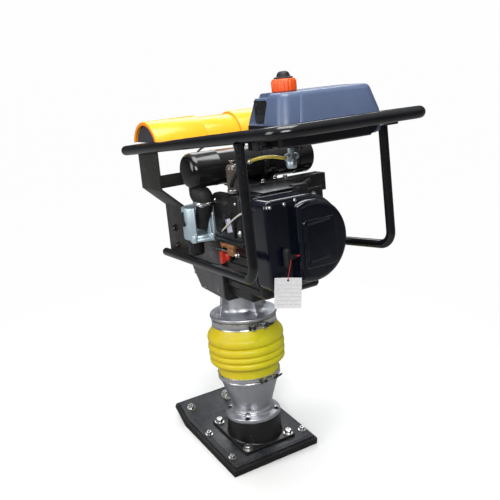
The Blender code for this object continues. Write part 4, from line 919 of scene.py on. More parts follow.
def fan_and_starter():
    """Fan housing, starter cover with its panel, pull grip, cord and stop button."""
    shroud = rounded_rear(fan_outline, FAN_REAR, -0.2625, 0.012)
    flange = slab(fan_outline(0.0022), -0.268, -0.263, "Y", 0.001)
    box_x = FAN_MIDDLE[0] + FAN_RADIUS
    switch = block((box_x - 0.004, -0.305, SHAFT_Z - 0.01), (box_x + 0.01, -0.285, SHAFT_Z + 0.01),
        0.0016)
    pocket = block((box_x + 0.0062, -0.3016, SHAFT_Z - 0.0066),
        (box_x + 0.012, -0.2884, SHAFT_Z + 0.0066), 0)
    skin("fan_shroud", together(shroud, flange, carved(switch, pocket)), COVER_BLACK)

    cover = rounded_rear(starter_outline, COVER_REAR, -0.3293, 0.015, 8)
    slots = []
    for k in range(7):
        a = math.radians(-54 + 18 * k)
        at = (FAN_MIDDLE[0] + 0.09 * math.cos(a), FAN_MIDDLE[1] + 0.09 * math.sin(a))
        cutter = block((-0.002, -0.348, -0.0075), (0.002, -0.33, 0.0075), 0.0008, 1)
        cutter = moved(cutter, Matrix.Translation((at[0] + 0.009 * math.cos(a), 0,
            at[1] + 0.009 * math.sin(a))) @ Matrix.Rotation(-a, 4, "Y"))
        slots.append(cutter)
    mouth = bar((-0.06, CORD_Y, CORD_Z), (-0.02, CORD_Y, CORD_Z), 0.0048, 24)
    cover = carved(cover, *slots, mouth)
    skin("starter_cover", cover, COVER_BLACK, sharp=30)

    def panel_outline(grow):
        corners = ((0.058, 0.703, 0.012), (-0.017, 0.706, 0.009), (-0.017, 0.605, 0.009),
            (0.058, 0.608, 0.012))
        return [p for i, (x, z, radius) in enumerate(corners)
            for p in arc((x, z), radius + grow, 90 * i, 90 * i + 90, 6)]

    panel = rounded_rear(panel_outline, PANEL_REAR, -0.357, 0.004, 4)
    bars = []
    for (x0, z0), (x1, z1) in (((-0.017, 0.7045), (0.05, 0.7085)), ((-0.012, 0.614), (0.04, 0.618)),
            ((-0.0205, 0.618), (-0.0205, 0.7))):
        path = smooth_path([(x0, PANEL_REAR, z0),
            ((x0 + x1) / 2, PANEL_REAR - 0.001, (z0 + z1) / 2), (x1, PANEL_REAR, z1)])
        bars.append(pipe(path, 0.003, 14))
    show("starter_panel", together(panel, *bars), COVER_BLACK, sharp=40)

    screws = [domed_screw((-0.001, -0.352, 0.746), (0, -1, 0.1), 0.0052, 0.0036, 0.0066),
        hex_bolt((-0.0865, -0.256, 0.726), LEFT, 0.009, 0.005, 0.007)]
    for at in ((-0.02, -0.327, 0.76), (-0.052, -0.3285, 0.756)):
        screws.append(domed_screw(at, (0, -1, 0.2), 0.005, 0.0034, 0.006))
    for at in ((0.007, -0.352, 0.572), (0.082, -0.352, 0.704), (0.082, -0.352, 0.612),
            (-0.092, -0.3285, 0.754), (-0.092, -0.3285, 0.566)):
        screws.append(domed_screw(at, REAR, 0.0046, 0.003))
    show("cover_screws", together(*screws), ZINC, sharp=30)

    grip = together(slab(arc((GRIP_X, CORD_Z + 0.0165), 0.008, 0, 180, 8)
        + arc((GRIP_X, CORD_Z - 0.0165), 0.008, 180, 360, 8), -0.3525, -0.3355, "Y", 0.0045, 4, 40),
        lathe(eased([(0, 0), (0.0068, 0), (0.005, 0.02), (0, 0.02)], 0.001),
        (GRIP_X + 0.005, CORD_Y, CORD_Z), RIGHT, 24))
    skin("starter_grip", grip, RUBBER, "starter_grip")
    cord = pipe([Vector((GRIP_X + 0.02 + 0.125 * k / 8, CORD_Y, CORD_Z)) for k in range(9)], 0.0022,
        12)
    show("starter_cord", cord, STRING, "starter_grip")
    button = block((box_x + 0.0096, -0.301, SHAFT_Z - 0.006),
        (box_x + 0.0146, -0.289, SHAFT_Z + 0.006), 0.0016, 3)
    skin("stop_button", button, RED, "stop_button")


def muffler():
    """The silencer and its guard, with staggered holes."""
    shell = block((0.087, -0.225, 0.59), (0.133, -0.115, 0.695), 0.012, 4)
    seam = block((0.108, -0.2275, 0.5875), (0.111, -0.1125, 0.6975), 0.0012)
    outlet = bar((0.12, -0.17, 0.61), (0.148, -0.17, 0.598), 0.009, 24, 0.0072)
    skin("muffler", together(shell, seam, outlet), DARK_STEEL)
    guard = block((0.1345, -0.218, 0.624), (0.1362, -0.122, 0.692), 0.0008)
    holes = []
    for row in range(4):
        for column in range(6):
            y = -0.208 + 0.0152 * column + (0.0076 if row % 2 else 0)
            holes.append(bar((0.13, y, 0.634 + 0.0155 * row), (0.14, y, 0.634 + 0.0155 * row),
                0.0042, 12, 0, 0.0001))
    show("muffler_guard", carved(guard, *holes), BRUSHED)


def carburettor():
    """A pale casting that wraps round the black elbow, open to the rear."""
    outer = arc(CARB, 0.0392, -65, 235, 44)
    inner = arc(CARB, 0.0258, 235, -65, 40)
    wall = slab(outer + inner, 0.66, 0.74, "Z", 0.003, 3)
    floor = slab(arc(CARB, 0.0388, 0, 350, 35), 0.656, 0.668, "Z", 0.0028)
    ears = []
    for x, y in CARB_EARS:
        ears.append(lathe(puck(0.0082, 0.018, 0.0015, 3), (x, y, 0.6515), UP, 28))
    web = slab([(-0.178, -0.085), (-0.166, -0.093), (-0.125, -0.101), (-0.114, -0.096),
        (-0.112, -0.05), (-0.17, -0.05)], 0.652, 0.66, "Z", 0.0022)
    flange = block((-0.118, -0.094, 0.646), (-0.0948, -0.0286, 0.7245), 0.004, 3)
    parts = [wall, floor, web, flange, *ears]
    skin("carburettor", together(*parts), CARB_METAL, sharp=38)
    screws = [domed_screw((x, y, 0.6692), UP, 0.0046, 0.003) for x, y in CARB_EARS]
    show("carburettor_screws", together(*screws), ZINC, sharp=30)
    bowl = [(0, 0.613), (0.015, 0.613), (0.0195, 0.6165), (0.0205, 0.623), (0.0205, 0.64),
        (0.0218, 0.6415), (0.0218, 0.653), (0, 0.653)]
    skin("float_bowl", lathe(eased(bowl, 0.001), (BOWL_X, CARB[1], 0)), SATIN_BLACK)
    path = smooth_path([(-0.14, -0.0755, 0.798), (-0.14, -0.0755, 0.788), (-0.139, -0.079, 0.776),
        (-0.134, -0.087, 0.762), (-0.132, -0.088, 0.746), (-0.132, -0.079, 0.725),
        (-0.132, -0.069, 0.703), (-0.134, -0.064, 0.685)])
    elbow = pipe(path, lambda t: ELBOW_RADIUS + 0.0062 * math.sin(math.pi * min(1, 1.35 * t)) ** 2,
        40)
    skin("intake_elbow", elbow, RUBBER, sharp=60)
    ring = lathe([(0.0245, 0), (0.0274, 0), (0.0284, 0.0014), (0.0276, 0.0028), (0.0276, 0.0092),
        (0.0284, 0.0106), (0.0274, 0.012), (0.0245, 0.012)], (-0.132, -0.086, 0.744),
        (0.0, 0.22, 1), 64)
    screw = together(block((-0.156, -0.116, 0.743), (-0.138, -0.105, 0.752), 0.0012),
        bar((-0.162, -0.113, 0.7475), (-0.132, -0.115, 0.7475), 0.0026, 16))
    show("elbow_clip", together(ring, screw), BRUSHED)


def levers():
    """The two carburettor levers and the red oil cap on its neck."""
    repeat_node("choke_lever", DARK_STEEL, "choke_lever", 0.0004)
    repeat_node("governor_lever", DARK_STEEL, "governor_lever", 0.0004)
    hub = lathe(eased([(0, 0), (0.0135, 0), (0.0135, 0.012), (0.0105, 0.018), (0, 0.02)], 0.0012,
        3), (-0.0866, *FILLER), LEFT, 40)
    y, z = FILLER
    wing = slab(arc((y, z + 0.011), 0.006, 0, 180, 6) + arc((y, z - 0.011), 0.006, 180, 360, 6),
        -0.116, -0.104, "X", 0.0022, 3)
    skin("oil_cap", together(hub, wing), RED, "oil_cap")
    tube = bar((-0.086, *FILLER), (-0.096, *FILLER), 0.0165, 36)
    show("oil_neck", tube, SATIN_BLACK)


def air_cleaner():
    """The long black canister, its end cap with three clips, and a strap."""
    y, z = CLEANER
    profile = [(0, 0), (0.018, 0.0002), (0.03, 0.0015), (0.0385, 0.006), (0.043, 0.0125),
        (0.0445, 0.021), (0.0445, 0.08), (0.0452, 0.0815), (0.0452, 0.085), (0.0445, 0.0865),
        (0.0445, 0.308), (0.0452, 0.3095), (0.0452, 0.313), (0.0445, 0.3145), (0.0445, 0.324),
        (0, 0.324)]
    spigot = lathe(eased([(0.016, 0.775), (0.0225, 0.775), (0.0225, 0.805), (0.016, 0.805)],
        0.0015), (CARB[0], y + 0.01, 0), UP, 48)
    along = Vector((math.cos(CLEANER_TILT), 0, -math.sin(CLEANER_TILT)))
    start = Vector((CLEANER_LEFT, y, z))
    body = lathe(profile, start, along, 96)
    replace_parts(show("air_cleaner_skin", together(body, spigot), CANISTER),
        "air_cleaner_body")
    cap = [(0, 0.052), (0.025, 0.0517), (0.036, 0.05), (0.043, 0.0455), (0.0458, 0.04),
        (0.0462, 0.012), (0.0462, 0.0005), (0.0449, 0.0), (0.0449, 0.038), (0, 0.04)]
    parts = [lathe(eased(cap, 0.0008), start + along * 0.325, along, 96)]
    for a in (20, 140, 260):
        clip = block((0.0, -0.006, 0.0452), (0.026, 0.006, 0.049), 0.001)
        clip = moved(clip, Matrix.Translation(start + along * 0.316)
            @ Matrix.Rotation(math.radians(a), 4, "X"))
        parts.append(clip)
    skin("air_cleaner_cap", together(*parts), CANISTER)
    strap = lathe([(0.0454, 0), (0.0464, 0), (0.0464, 0.014), (0.0454, 0.014)],
        start + along * 0.208, along, 96)
    show("air_cleaner_strap", strap, SATIN_BLACK)


def brackets():
    """The slotted channel over the engine, and smaller plates round it."""
    bracket = from_node("channel_bracket", 0.001)
    slots = []
    for x in (0.155, 0.19):
        hole = slab(arc((x + 0.006, -0.1255), 0.0042, -90, 90, 8)
            + arc((x - 0.006, -0.1255), 0.0042, 90, 270, 8), 0.77, 0.785, "Z", 0)
        slots.append(moved(hole, LEG))
    skin("channel_bracket", carved(bracket, *slots), SATIN_BLACK, matrix=FLAT,
        sharp=30)
    lower = block((0.078, -0.24, 0.734), (0.13, -0.142, 0.737), 0.0008)
    upright = block((0.078, -0.24, 0.728), (0.13, -0.237, 0.764), 0.0008)
    top_plate = slab([(-0.148, 0.78), (-0.07, 0.785), (-0.07, 0.7822), (-0.148, 0.7772)], -0.06,
        0.08, bevel=0.0008)
    show("engine_brackets", together(lower, upright, top_plate), SATIN_BLACK)
    bolts = [hex_bolt((0.06, -0.13, 0.785), UP, 0.01, 0.0055, 0.008)]
    for at, facing in (((0.1, -0.12, 0.7802), UP), ((0.1, -0.2402, 0.745), REAR),
            ((0.01, -0.15, 0.784), UP)):
        bolts.append(hex_bolt(at, facing, 0.011, 0.006, 0.0085))
    show("bracket_bolts", together(*bolts), ZINC, sharp=30)
    shelf = block((-0.06, -0.255, 0.7735), (0.074, -0.11, 0.7775), 0.0012)
    show("cylinder_cowl", shelf, SATIN_BLACK)


# ---------------------------------------------------------------- fuel
def fuel_line():
    """Filter, hose with its sleeve and clip, and the cock under the tank."""
    x, y = FILTER
    bowl = [(0, 0.788), (0.0125, 0.788), (0.0155, 0.7905), (0.0165, 0.795), (0.0165, 0.838),
        (0.015, 0.844), (0.011, 0.848), (0.005, 0.85), (0.004, 0.852), (0.0036, 0.858), (0, 0.858)]
    skin("fuel_filter", lathe(eased(bowl, 0.0006), (x, y, 0), UP, 56), FILTER_CLEAR)
    paper = lathe([(0, 0.793)] + [(0.011 + 0.0014 * (k % 2), 0.7935 + 0.042 * k / 20)
        for k in range(21)] + [(0, 0.836)], (x, y, 0), UP, 40)
    show("filter_paper", paper, CREAM)
    clips = [lathe([(0.004, 0), (0.0068, 0), (0.0068, 0.0035), (0.004, 0.0035)], (x, y, height), UP,
        28) for height in (0.7865, 0.8545)]
    base = lathe(eased([(0, 0.776), (0.012, 0.776), (0.017, 0.78), (0.0175, 0.7885), (0, 0.7885)],
        0.0008), (x, y, 0), UP, 48)
    show("filter_clips", together(*clips, base), ZINC)

    route = [(COCK[0] - 0.0145, COCK[1], COCK_Z), (COCK[0] - 0.022, COCK[1], 0.8684),
        (-0.084, -0.348, 0.872), (-0.1, -0.318, 0.87), (-0.112, -0.285, 0.86),
        (-0.118, -0.26, 0.846), (-0.121, -0.24, 0.83), (-0.1215, -0.222, 0.812),
        (-0.119, -0.21, 0.802), (-0.115, -0.205, 0.8), (-0.1121, -0.2021, 0.8)]
    skin("fuel_hose", pipe(smooth_path(route, 8), 0.0038, 20), HOSE, sharp=60)
    show("hose_sleeve", pipe(smooth_path(route[4:], 8), 0.0047, 20), RUBBER)
    clip = lathe(eased([(0.0045, -0.004), (0.0062, -0.004), (0.0062, 0.004), (0.0045, 0.004)],
        0.0006), (-0.11, -0.2905, 0.8625), (-0.36, 0.82, -0.36), 32)
    show("hose_clip", clip, ZINC, sharp=30)

    x, y = COCK
    parts = [bar((x, y, 0.856), (x, y, 0.903), 0.0075, 28),
        bar((x - 0.015, y, COCK_Z), (x + 0.014, y, COCK_Z), 0.0082, 28, 0, 0.0015),
        slab(hexagon(0.019, (x, y)), 0.892, 0.906, "Z", 0.001),
        lathe(eased([(0, 0), (0.0105, 0), (0.012, 0.006), (0.012, 0.016), (0, 0.018)], 0.0015),
        (x, y, 0.842), UP, 32), hex_bolt((x + 0.014, y, COCK_Z), RIGHT, 0.011, 0.005)]
    skin("fuel_cock", together(*parts), CARB_METAL, sharp=32)
    ring = lathe(puck(0.0072, 0.0036, 0.0008), (x, y - 0.0084, COCK_Z), REAR, 28)
    blade = slab([(x - 0.0034, COCK_Z), (x + 0.0034, COCK_Z), (x + 0.0046, 0.849), (x, 0.846),
        (x - 0.0046, 0.849)], y - 0.012, y - 0.0092, "Y", 0.0009)
    skin("fuel_cock_lever", together(ring, blade), ZINC, "fuel_cock_lever")


def tank_ring(level, inset, radius, x_low=TANK_LOW[0], x_high=TANK_HIGH[0]):
    """The tank's rounded outline at one height, drawn in by inset."""
    y_low, y_high = TANK_LOW[1] + inset, TANK_HIGH[1] - inset
    corners = [(x_high - inset, y_high, 0), (x_low + inset, y_high, 90),
        (x_low + inset, y_low, 180), (x_high - inset, y_low, 270)]
    points = []
    for x, y, start in corners:
        centre = (x - radius if start in (0, 270) else x + radius,
            y - radius if start in (0, 90) else y + radius)
        points += [(*p, level) for p in arc(centre, radius, start, start + 90, 12)]
    return points


def tank():
    """The fuel tank in its black tray, with its ribbed cap."""
    low, top = TANK_LOW[2], TANK_HIGH[2]
    levels = [(low, 0.01, 0.016), (low + 0.002, 0.0045, 0.02), (low + 0.006, 0.001, 0.023),
        (low + 0.01, 0.0, 0.024), (low + 0.046, 0.0, 0.024), (low + 0.052, 0.001, 0.024),
        (top - 0.012, 0.0128, 0.021), (top - 0.008, 0.0142, 0.02), (top - 0.004, 0.0165, 0.019),
        (top - 0.0012, 0.02, 0.018), (top, 0.0245, 0.016)]
    shell = stacked([tank_ring(*level) for level in levels])
    panel = stacked([tank_ring(level, inset - 0.0022, min(radius, 0.014), x_low=-0.118,
        x_high=0.098) for level, inset, radius in levels[4:-3]])
    recess = block((TANK_LOW[0] - 0.02, -0.436, 0.952), (TANK_LOW[0] + 0.03, -0.378, 1.001), 0.006,
        4)
    body = carved(shell, panel, operation="UNION")
    corner = block((TANK_LOW[0] - 0.02, -0.437, 1.005), (-0.124, -0.33, 1.04), 0.003, 3)
    body = carved(body, recess, corner)
    neck = lathe(eased([(0.0175, top - 0.004), (0.0222, top - 0.004), (0.0222, top + 0.003),
        (0.0215, top + 0.003), (0.0215, top + 0.0135), (0.0175, top + 0.0135)], 0.0006), (*CAP, 0),
        UP, 64)
    skin("fuel_tank", together(body, neck), SLATE, sharp=24)
    lining = block((TANK_LOW[0] + 0.017, -0.4365, 0.9515), (TANK_LOW[0] + 0.0302, -0.3775, 1.0012),
        0)
    show("tank_pocket", lining, SATIN_BLACK)
    tray = stacked([tank_ring(low + lift, inset, radius)
        for lift, inset, radius in ((-0.003, 0.003, 0.022), (-0.0012, -0.0012, 0.025),
        (0.001, -0.0026, 0.026), (0.0405, -0.0026, 0.026), (0.043, -0.0012, 0.026))])
    beyond = slab([(0.085, low - 0.02), (0.14, low - 0.02), (0.14, low + 0.06), (0.09, low + 0.06),
        (0.09, low + 0.02), (0.085, low + 0.008), (0.07, low)], -0.55, -0.34, "Y", 0)
    show("tank_tray", carved(tray, beyond), GLOSS_BLACK, sharp=30)

    cap_low = top + 0.0003
    ribs = 18
    outline = []
    for k in range(ribs * 8):
        a = math.tau * k / (ribs * 8)
        wave = 0.5 + 0.5 * math.cos(a * ribs)
        r = 0.0254 + 0.0014 * (1 - wave ** 2)
        outline.append((CAP[0] + r * math.cos(a), CAP[1] + r * math.sin(a)))
    ring = slab(outline, cap_low + 0.0005, cap_low + 0.023, "Z", 0.0016, 3, 60)
    crown = lathe(eased([(0, 0), (0.0256, 0), (0.0246, 0.004), (0.0205, 0.0055), (0, 0.0055)],
        0.0012), (*CAP, cap_low + 0.0215), UP, 72)
    skin("tank_cap", together(ring, crown), ORANGE, "tank_cap", sharp=40)
    dome = [(0, 0), (0.0208, 0), (0.0204, 0.0026), (0.018, 0.004), (0.015, 0.0048), (0.014, 0.007),
        (0.0128, 0.011), (0.0098, 0.0142), (0.0055, 0.0156), (0, 0.016)]
    show("tank_cap_dome", lathe(dome, (*CAP, cap_low + 0.0265), UP, 64), RUBBER,
        "tank_cap")


# ---------------------------------------------------------------- handle, guards and bumper
def handle():
    """The handle loop with the cradle that carries the tank, and the throttle."""
    corners = [(-LOOP_HALF, *LOOP_FRONT), (-LOOP_HALF, *LOOP_REAR), (LOOP_HALF, *LOOP_REAR),
        (LOOP_HALF, *LOOP_FRONT)]
    path = corner_path(corners, [0.022, 0.045, 0.045, 0.022], 12, True)
    loop = pipe(path, LOOP_TUBE, 36, True)
    cradle_z = TANK_LOW[2] - 0.0035
    inner = LOOP_HALF - 0.006
    step_x = TANK_HIGH[0] + 0.001
    shelf_z = cradle_z + 0.0105
    parts = [loop]
    for low, high in (((-inner, cradle_z), (step_x + 0.0035, cradle_z + 0.003)),
            ((-inner, cradle_z), (0.004 - inner, 0.94)),
            ((step_x, cradle_z), (step_x + 0.0035, shelf_z + 0.003)),
            ((step_x, shelf_z), (inner, shelf_z + 0.003)),
            ((inner - 0.004, shelf_z), (inner, 0.94))):
        parts.append(block((low[0], -0.46, low[1]), (high[0], -0.42, high[1]), 0.0008))
    throttle_z = loop_height(THROTTLE_Y)
    parts.append(block((0.159, -0.312, throttle_z - 0.01),
        (LOOP_HALF - 0.006, -0.288, throttle_z + 0.01), 0.002, 3))
    skin("handle_loop", together(*parts), GLOSS_BLACK)
    ring = lathe(puck(0.01, 0.0056, 0.001), (0.1586, THROTTLE_Y, throttle_z), LEFT, 32)
    arm = slab([(THROTTLE_Y, throttle_z + 0.0048), (-0.34, throttle_z + 0.0035),
        (-0.345, throttle_z), (-0.34, throttle_z - 0.0035), (THROTTLE_Y, throttle_z - 0.0048)],
        0.1535, 0.158, bevel=0.0014, segments=3)
    skin("throttle_lever", together(ring, arm), RUBBER, "throttle_lever")


def guard(name, side):
    """One bent tube guard, closed with a rubber plug."""
    top = loop_height(GUARD_Y) - LOOP_TUBE - 0.0005
    path = corner_path([(side * GUARD_X, GUARD_Y, top),
        (side * GUARD_X, GUARD_Y - GUARD_RAKE, GUARD_Z), (side * 0.143, 0.153, 0.586)],
        [0, 0.036, 0], 14)
    tube = pipe(path, GUARD_TUBE, 32)
    weld = pipe([Vector((side * (GUARD_X - 0.0005), GUARD_Y, top - 0.0035)),
        Vector((side * (GUARD_X - 0.0005), GUARD_Y, top + 0.002))], GUARD_TUBE + 0.0018, 32)
    end = path[-1]
    back = (path[-2] - end).normalized()
    plug = lathe(eased([(0, 0), (GUARD_TUBE - 0.0006, 0), (GUARD_TUBE - 0.0006, 0.006), (0, 0.006)],
        0.003, 4), end - back * 0.0045, back, 32)
    skin(name, together(tube, weld), GLOSS_BLACK)
    show(name + "_plug", plug, RUBBER)


def front_frame():
    """The black frame in front, its bolts and its rubber mounts."""
    skin("front_frame", from_node("front_frame", 0.0012, 2), CHARCOAL, matrix=FLAT)
    bolts = []
    for side in (-1, 1):
        x = side * 0.1312
        bolts += [hex_bolt((x, 0.1, 0.66), (side, 0, 0), 0.013, 0.0055, 0.01),
            hex_bolt((x, 0.094, 0.612), (side, 0, 0), 0.011, 0.004, 0.008)]
    show("strap_bolts", together(*bolts), DARK_STEEL, sharp=30)
    for name in ("rubber_mount_left", "rubber_mount_right"):
        repeat_node(name, RUBBER, width=0.0016, segments=3)


def foot_angle(foot, radius):
    """The angle at which a circle round the bumper's axis reaches the height of its foot."""
    return math.degrees(math.asin((foot - HOOD[1]) / radius))


def arch(outer, inner, foot, low, high, bevel):
    """A half-pipe round the bumper's axis that ends at the height of its foot."""
    start, inner_start = foot_angle(foot, outer), foot_angle(foot, inner)
    outline = arc(HOOD, outer, start, 180 - start, 40)
    outline += arc(HOOD, inner, 180 - inner_start, inner_start, 40)
    return slab(outline, low, high, bevel=bevel, segments=3)


def bumper():
    """A moulded half-pipe over the nose: two raised end bands and a lower waist, with painted shade
    in darker orange on its ends, its step and its rear lower lip.
    """
    saddle = loop_height(HOOD[0] - HOOD_R) + LOOP_TUBE - 0.006
    left = arch(HOOD_R, HOOD_R - 0.0085, saddle, 0.001 - HOOD_HALF, -0.045, 0.0034)
    right = arch(HOOD_R, HOOD_R - 0.0085, saddle, 0.062, HOOD_HALF - 0.001, 0.0034)
    waist = arch(HOOD_R - 0.006, HOOD_R - 0.009, saddle, -0.06, 0.08, 0.001)
    skin("bumper_hood", together(left, waist, right), HOOD_YELLOW, sharp=30)
    # Painted shade: orange rims over both end faces and over the step where the waist meets the
    # right band.
    rims = [arch(HOOD_R - 0.0012, HOOD_R - 0.01, saddle, low, low + 0.0045, 0.0014)
        for low in (-HOOD_HALF, HOOD_HALF - 0.0045)]
    rims.append(arch(HOOD_R - 0.0012, HOOD_R - 0.0075, saddle, 0.06, 0.0645, 0.001))
    rear = HOOD[0] - HOOD_R
    # Painted shade: a thin orange strip on the rear lower lip stands for its shaded underside.
    skirt = block((-0.026, rear + 0.0014, 0.876), (0.168, rear + 0.0055, 0.893), 0.0012)
    show("bumper_shaded_rims", together(*rims, skirt), HOOD_SHADE_ORANGE, sharp=30)
    start = foot_angle(saddle, HOOD_R - 0.01)
    core = slab(arc(HOOD, HOOD_R - 0.01, start, 180 - start, 40), 0.007 - HOOD_HALF,
        HOOD_HALF - 0.007, bevel=0.001)
    show("bumper_core", core, HOOD_CORE)


def cables():
    """The throttle cable, from the lever to the carburettor."""
    throttle_z = loop_height(THROTTLE_Y)
    route = [(0.165, -0.287, throttle_z - 0.002), (0.165, -0.22, 0.908), (0.165, -0.1, 0.898),
        (0.164, -0.03, 0.892), (0.15, -0.018, 0.888), (0.06, -0.018, 0.887), (-0.06, -0.018, 0.886),
        (-0.11, -0.02, 0.86), (-0.118, -0.015, 0.8), (-0.115, -0.014, 0.755),
        (-0.11, -0.02, 0.7276)]
    skin("throttle_cable", pipe(smooth_path(route, 8), 0.0026, 14), RUBBER, sharp=60)


def tag():
    """A thin card that curls a little, on its string."""
    knot = LEG @ Vector((GRIP_X, -0.359, CORD_Z))
    top = knot.z - TAG_DROP
    turn = Matrix.Rotation(TAG_TURN, 4, "Z")
    across = turn @ Vector(RIGHT)
    facing = turn @ Vector(REAR)
    middle = Vector((TAG_HOLE_X, knot.y, 0))
    bm = bmesh.new()
    columns, rows = 14, 14
    sheets = []
    for depth in (0.002, 0.0026):
        grid = []
        for i in range(columns + 1):
            line = []
            for k in range(rows + 1):
                u, v = i / columns, k / rows
                curl = 0.0018 * (2 * u - 1) ** 2 + 0.0022 * (1 - v) ** 2
                line.append(bm.verts.new(middle + across * (TAG_WIDTH * (u - 0.5)) + facing
                    * (depth + curl) + Vector((0, 0, top - TAG_HEIGHT * (1 - v)))))
            grid.append(line)
        sheets.append(grid)
    back, front = sheets
    for i in range(columns):
        for k in range(rows):
            bm.faces.new((front[i][k], front[i + 1][k], front[i + 1][k + 1], front[i][k + 1]))
            bm.faces.new((back[i][k], back[i][k + 1], back[i + 1][k + 1], back[i + 1][k]))
    rim = ([(i, 0) for i in range(columns)] + [(columns, k) for k in range(rows)]
        + [(i, rows) for i in range(columns, 0, -1)] + [(0, k) for k in range(rows, 0, -1)])
    for (a, b), (c, d) in zip(rim, rim[1:] + rim[:1]):
        bm.faces.new((front[a][b], front[c][d], back[c][d], back[a][b]))
    eye = middle + facing * 0.0023 + Vector((0, 0, top - 0.007))
    hole = bar(eye + facing * 0.008, eye - facing * 0.008, 0.0028, 20, 0, 0.0001)
    skin("hang_tag", carved(bm, hole), CARD, "hang_tag", FLAT)
    route = [knot, eye + facing * 0.003 + Vector((0, 0, 0.009)),
        eye + facing * 0.0028 + Vector((0, 0, 0.0035)), eye - Vector((0, 0, 0.001))]
    curve = bpy.data.curves.new("tag_string_line", "CURVE")
    curve.dimensions = "3D"
    curve.bevel_depth = 0.0008
    curve.bevel_resolution = 3
    curve.use_fill_caps = True
    spline = curve.splines.new("POLY")
    spline.points.add(len(route) - 1)
    for point, at in zip(spline.points, route):
        point.co = (*at, 1.0)
    curve.materials.append(STRING)
    obj = placed("tag_string_line", curve)
    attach(obj, "hang_tag")
    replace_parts(obj, "tag_string")


def hidden_works():
    """The pieces inside keep their CAD shape and get worked-metal finishes."""
    works = {MACHINED: ("piston_rod", "wrist_pin", "connecting_rod", "crank_gear", "clutch_drum",
        "crankshaft", "spring_cylinder"), DARK_STEEL: ("lower_spring", "upper_spring"),
        DARK_ALUMINIUM: ("flywheel",), RUBBER: ("starter_pulley",)}
    for mat, names in works.items():
        for name in names:
            NODES[name].data.materials.clear()
            NODES[name].data.materials.append(mat)


shoe()
foot()
cone()
bellows()
band_clamp("lower_band_clamp", 0.2165, 0.2325, 0.0878, "foot", -85)
band_clamp("upper_band_clamp", 0.375, 0.395, 0.0908, "housing", -96)
guide()
crankcase()
engine()
left_shroud()
fan_and_starter()
muffler()
carburettor()
levers()
air_cleaner()
brackets()
fuel_line()
tank()
handle()
guard("guard_left", -1)
guard("guard_right", 1)
front_frame()
bumper()
cables()
tag()
hidden_works()


# ---------------------------------------------------------------- floor, light and camera
def floor():
    """A wide pale floor that fades to white away from the machine."""
    bm = bmesh.new()
    bmesh.ops.create_circle(bm, cap_ends=True, segments=96, radius=30.0)
    mesh = bpy.data.meshes.new("studio_floor")
    bm.to_mesh(mesh)
    bm.free()
    obj = placed("studio_floor", mesh)
    obj.location.z = -0.0004
    g = Graph("pale_studio_floor")
    pale = g.blend(g.ramp(g.noise(1.3, 3.0), 0.3, 0.7), (0.84, 0.84, 0.84), (0.86, 0.86, 0.86))
    away = g.add("ShaderNodeVectorMath", operation="LENGTH")
    g.wire(g.place, away.inputs[0])
    far = g.ramp(away.outputs["Value"], 0.45, 1.3)
    seen = g.add("ShaderNodeLightPath").outputs["Is Camera Ray"]
    near = g.blend(far, pale, (0.0, 0.0, 0.0))
    g.wire(g.blend(seen, (0.26, 0.26, 0.26), near), g.shader.inputs["Base Color"])
    g.wire(g.times(g.times(far, seen), 0.98), g.shader.inputs["Emission Strength"])
    g.shader.inputs["Emission Color"].default_value = (1.0, 1.0, 1.0, 1.0)
    g.shader.inputs["Roughness"].default_value = 0.85
    g.shader.inputs["Specular IOR Level"].default_value = 0.1
    mesh.materials.append(g.mat)


def lamp(name, at, aim, size, power, colour=(1, 1, 1)):
    """A soft rectangular light aimed at a point."""
    light = bpy.data.lights.new(name, "AREA")
    light.shape = "RECTANGLE"
    light.size, light.size_y = size
    light.energy = power
    light.color = colour
    obj = placed(name, light)
    obj.location = at
    obj.rotation_euler = (Vector(aim) - Vector(at)).to_track_quat("-Z", "Y").to_euler()


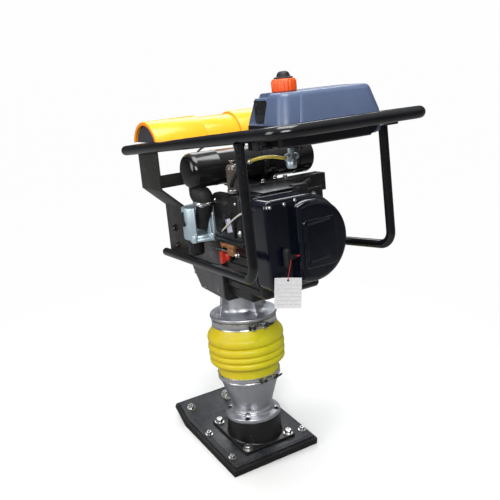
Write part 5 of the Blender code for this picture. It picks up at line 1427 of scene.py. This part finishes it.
def surroundings():
    """Bright overhead, dimmer at the horizon, and plain white behind the floor."""
    world = bpy.data.worlds.new("studio")
    bpy.context.scene.world = world
    world.use_nodes = True
    tree = world.node_tree
    back = tree.nodes["Background"]
    place = tree.nodes.new("ShaderNodeTexCoord")
    split = tree.nodes.new("ShaderNodeSeparateXYZ")
    tree.links.new(place.outputs["Generated"], split.inputs[0])
    rise = tree.nodes.new("ShaderNodeMapRange")
    rise.interpolation_type = "SMOOTHSTEP"
    for key, value in (("From Min", 0.1), ("From Max", 0.95), ("To Min", 0.07), ("To Max", 0.62)):
        rise.inputs[key].default_value = value
    tree.links.new(split.outputs["Z"], rise.inputs["Value"])
    seen = tree.nodes.new("ShaderNodeLightPath")
    mix = tree.nodes.new("ShaderNodeMix")
    mix.data_type = "FLOAT"
    mix.inputs[3].default_value = 0.98
    tree.links.new(seen.outputs["Is Camera Ray"], mix.inputs[0])
    tree.links.new(rise.outputs["Result"], mix.inputs[2])
    tree.links.new(mix.outputs[0], back.inputs["Strength"])
    back.inputs["Color"].default_value = (0.97, 0.985, 1.0, 1.0)


def camera():
    """The camera at the photograph's viewing angle."""
    data = bpy.data.cameras.new("camera")
    data.lens = CAMERA_LENS
    data.sensor_width = 36.0
    obj = placed("camera", data)
    yaw, pitch, roll = CAMERA_TURN
    ahead = Vector((math.sin(yaw) * math.cos(pitch), math.cos(yaw) * math.cos(pitch),
        -math.sin(pitch)))
    right = Vector((math.cos(yaw), -math.sin(yaw), 0))
    up = right.cross(ahead)
    tilted = right * math.cos(roll) + up * math.sin(roll)
    upright = up * math.cos(roll) - right * math.sin(roll)
    turn = Matrix((tilted, upright, -ahead)).transposed().to_4x4()
    obj.matrix_world = Matrix.Translation(CAMERA_AT) @ turn
    bpy.context.scene.camera = obj


floor()
lamp("overhead", (-0.1, -0.1, 2.9), (0, 0, 0.6), (1.5, 1.5), 62)
lamp("key", (-1.5, -2.3, 2.2), (0, 0, 0.6), (1.5, 1.1), 62, (1.0, 0.99, 0.97))
lamp("left", (-2.6, 0.3, 1.5), (0, 0, 0.6), (1.3, 1.3), 34, (1.0, 0.99, 0.97))
lamp("behind", (1.4, 2.2, 2.4), (0, 0, 0.7), (1.8, 1.2), 30, (0.94, 0.97, 1.0))
surroundings()
camera()
bpy.context.scene.view_settings.view_transform = "Standard"
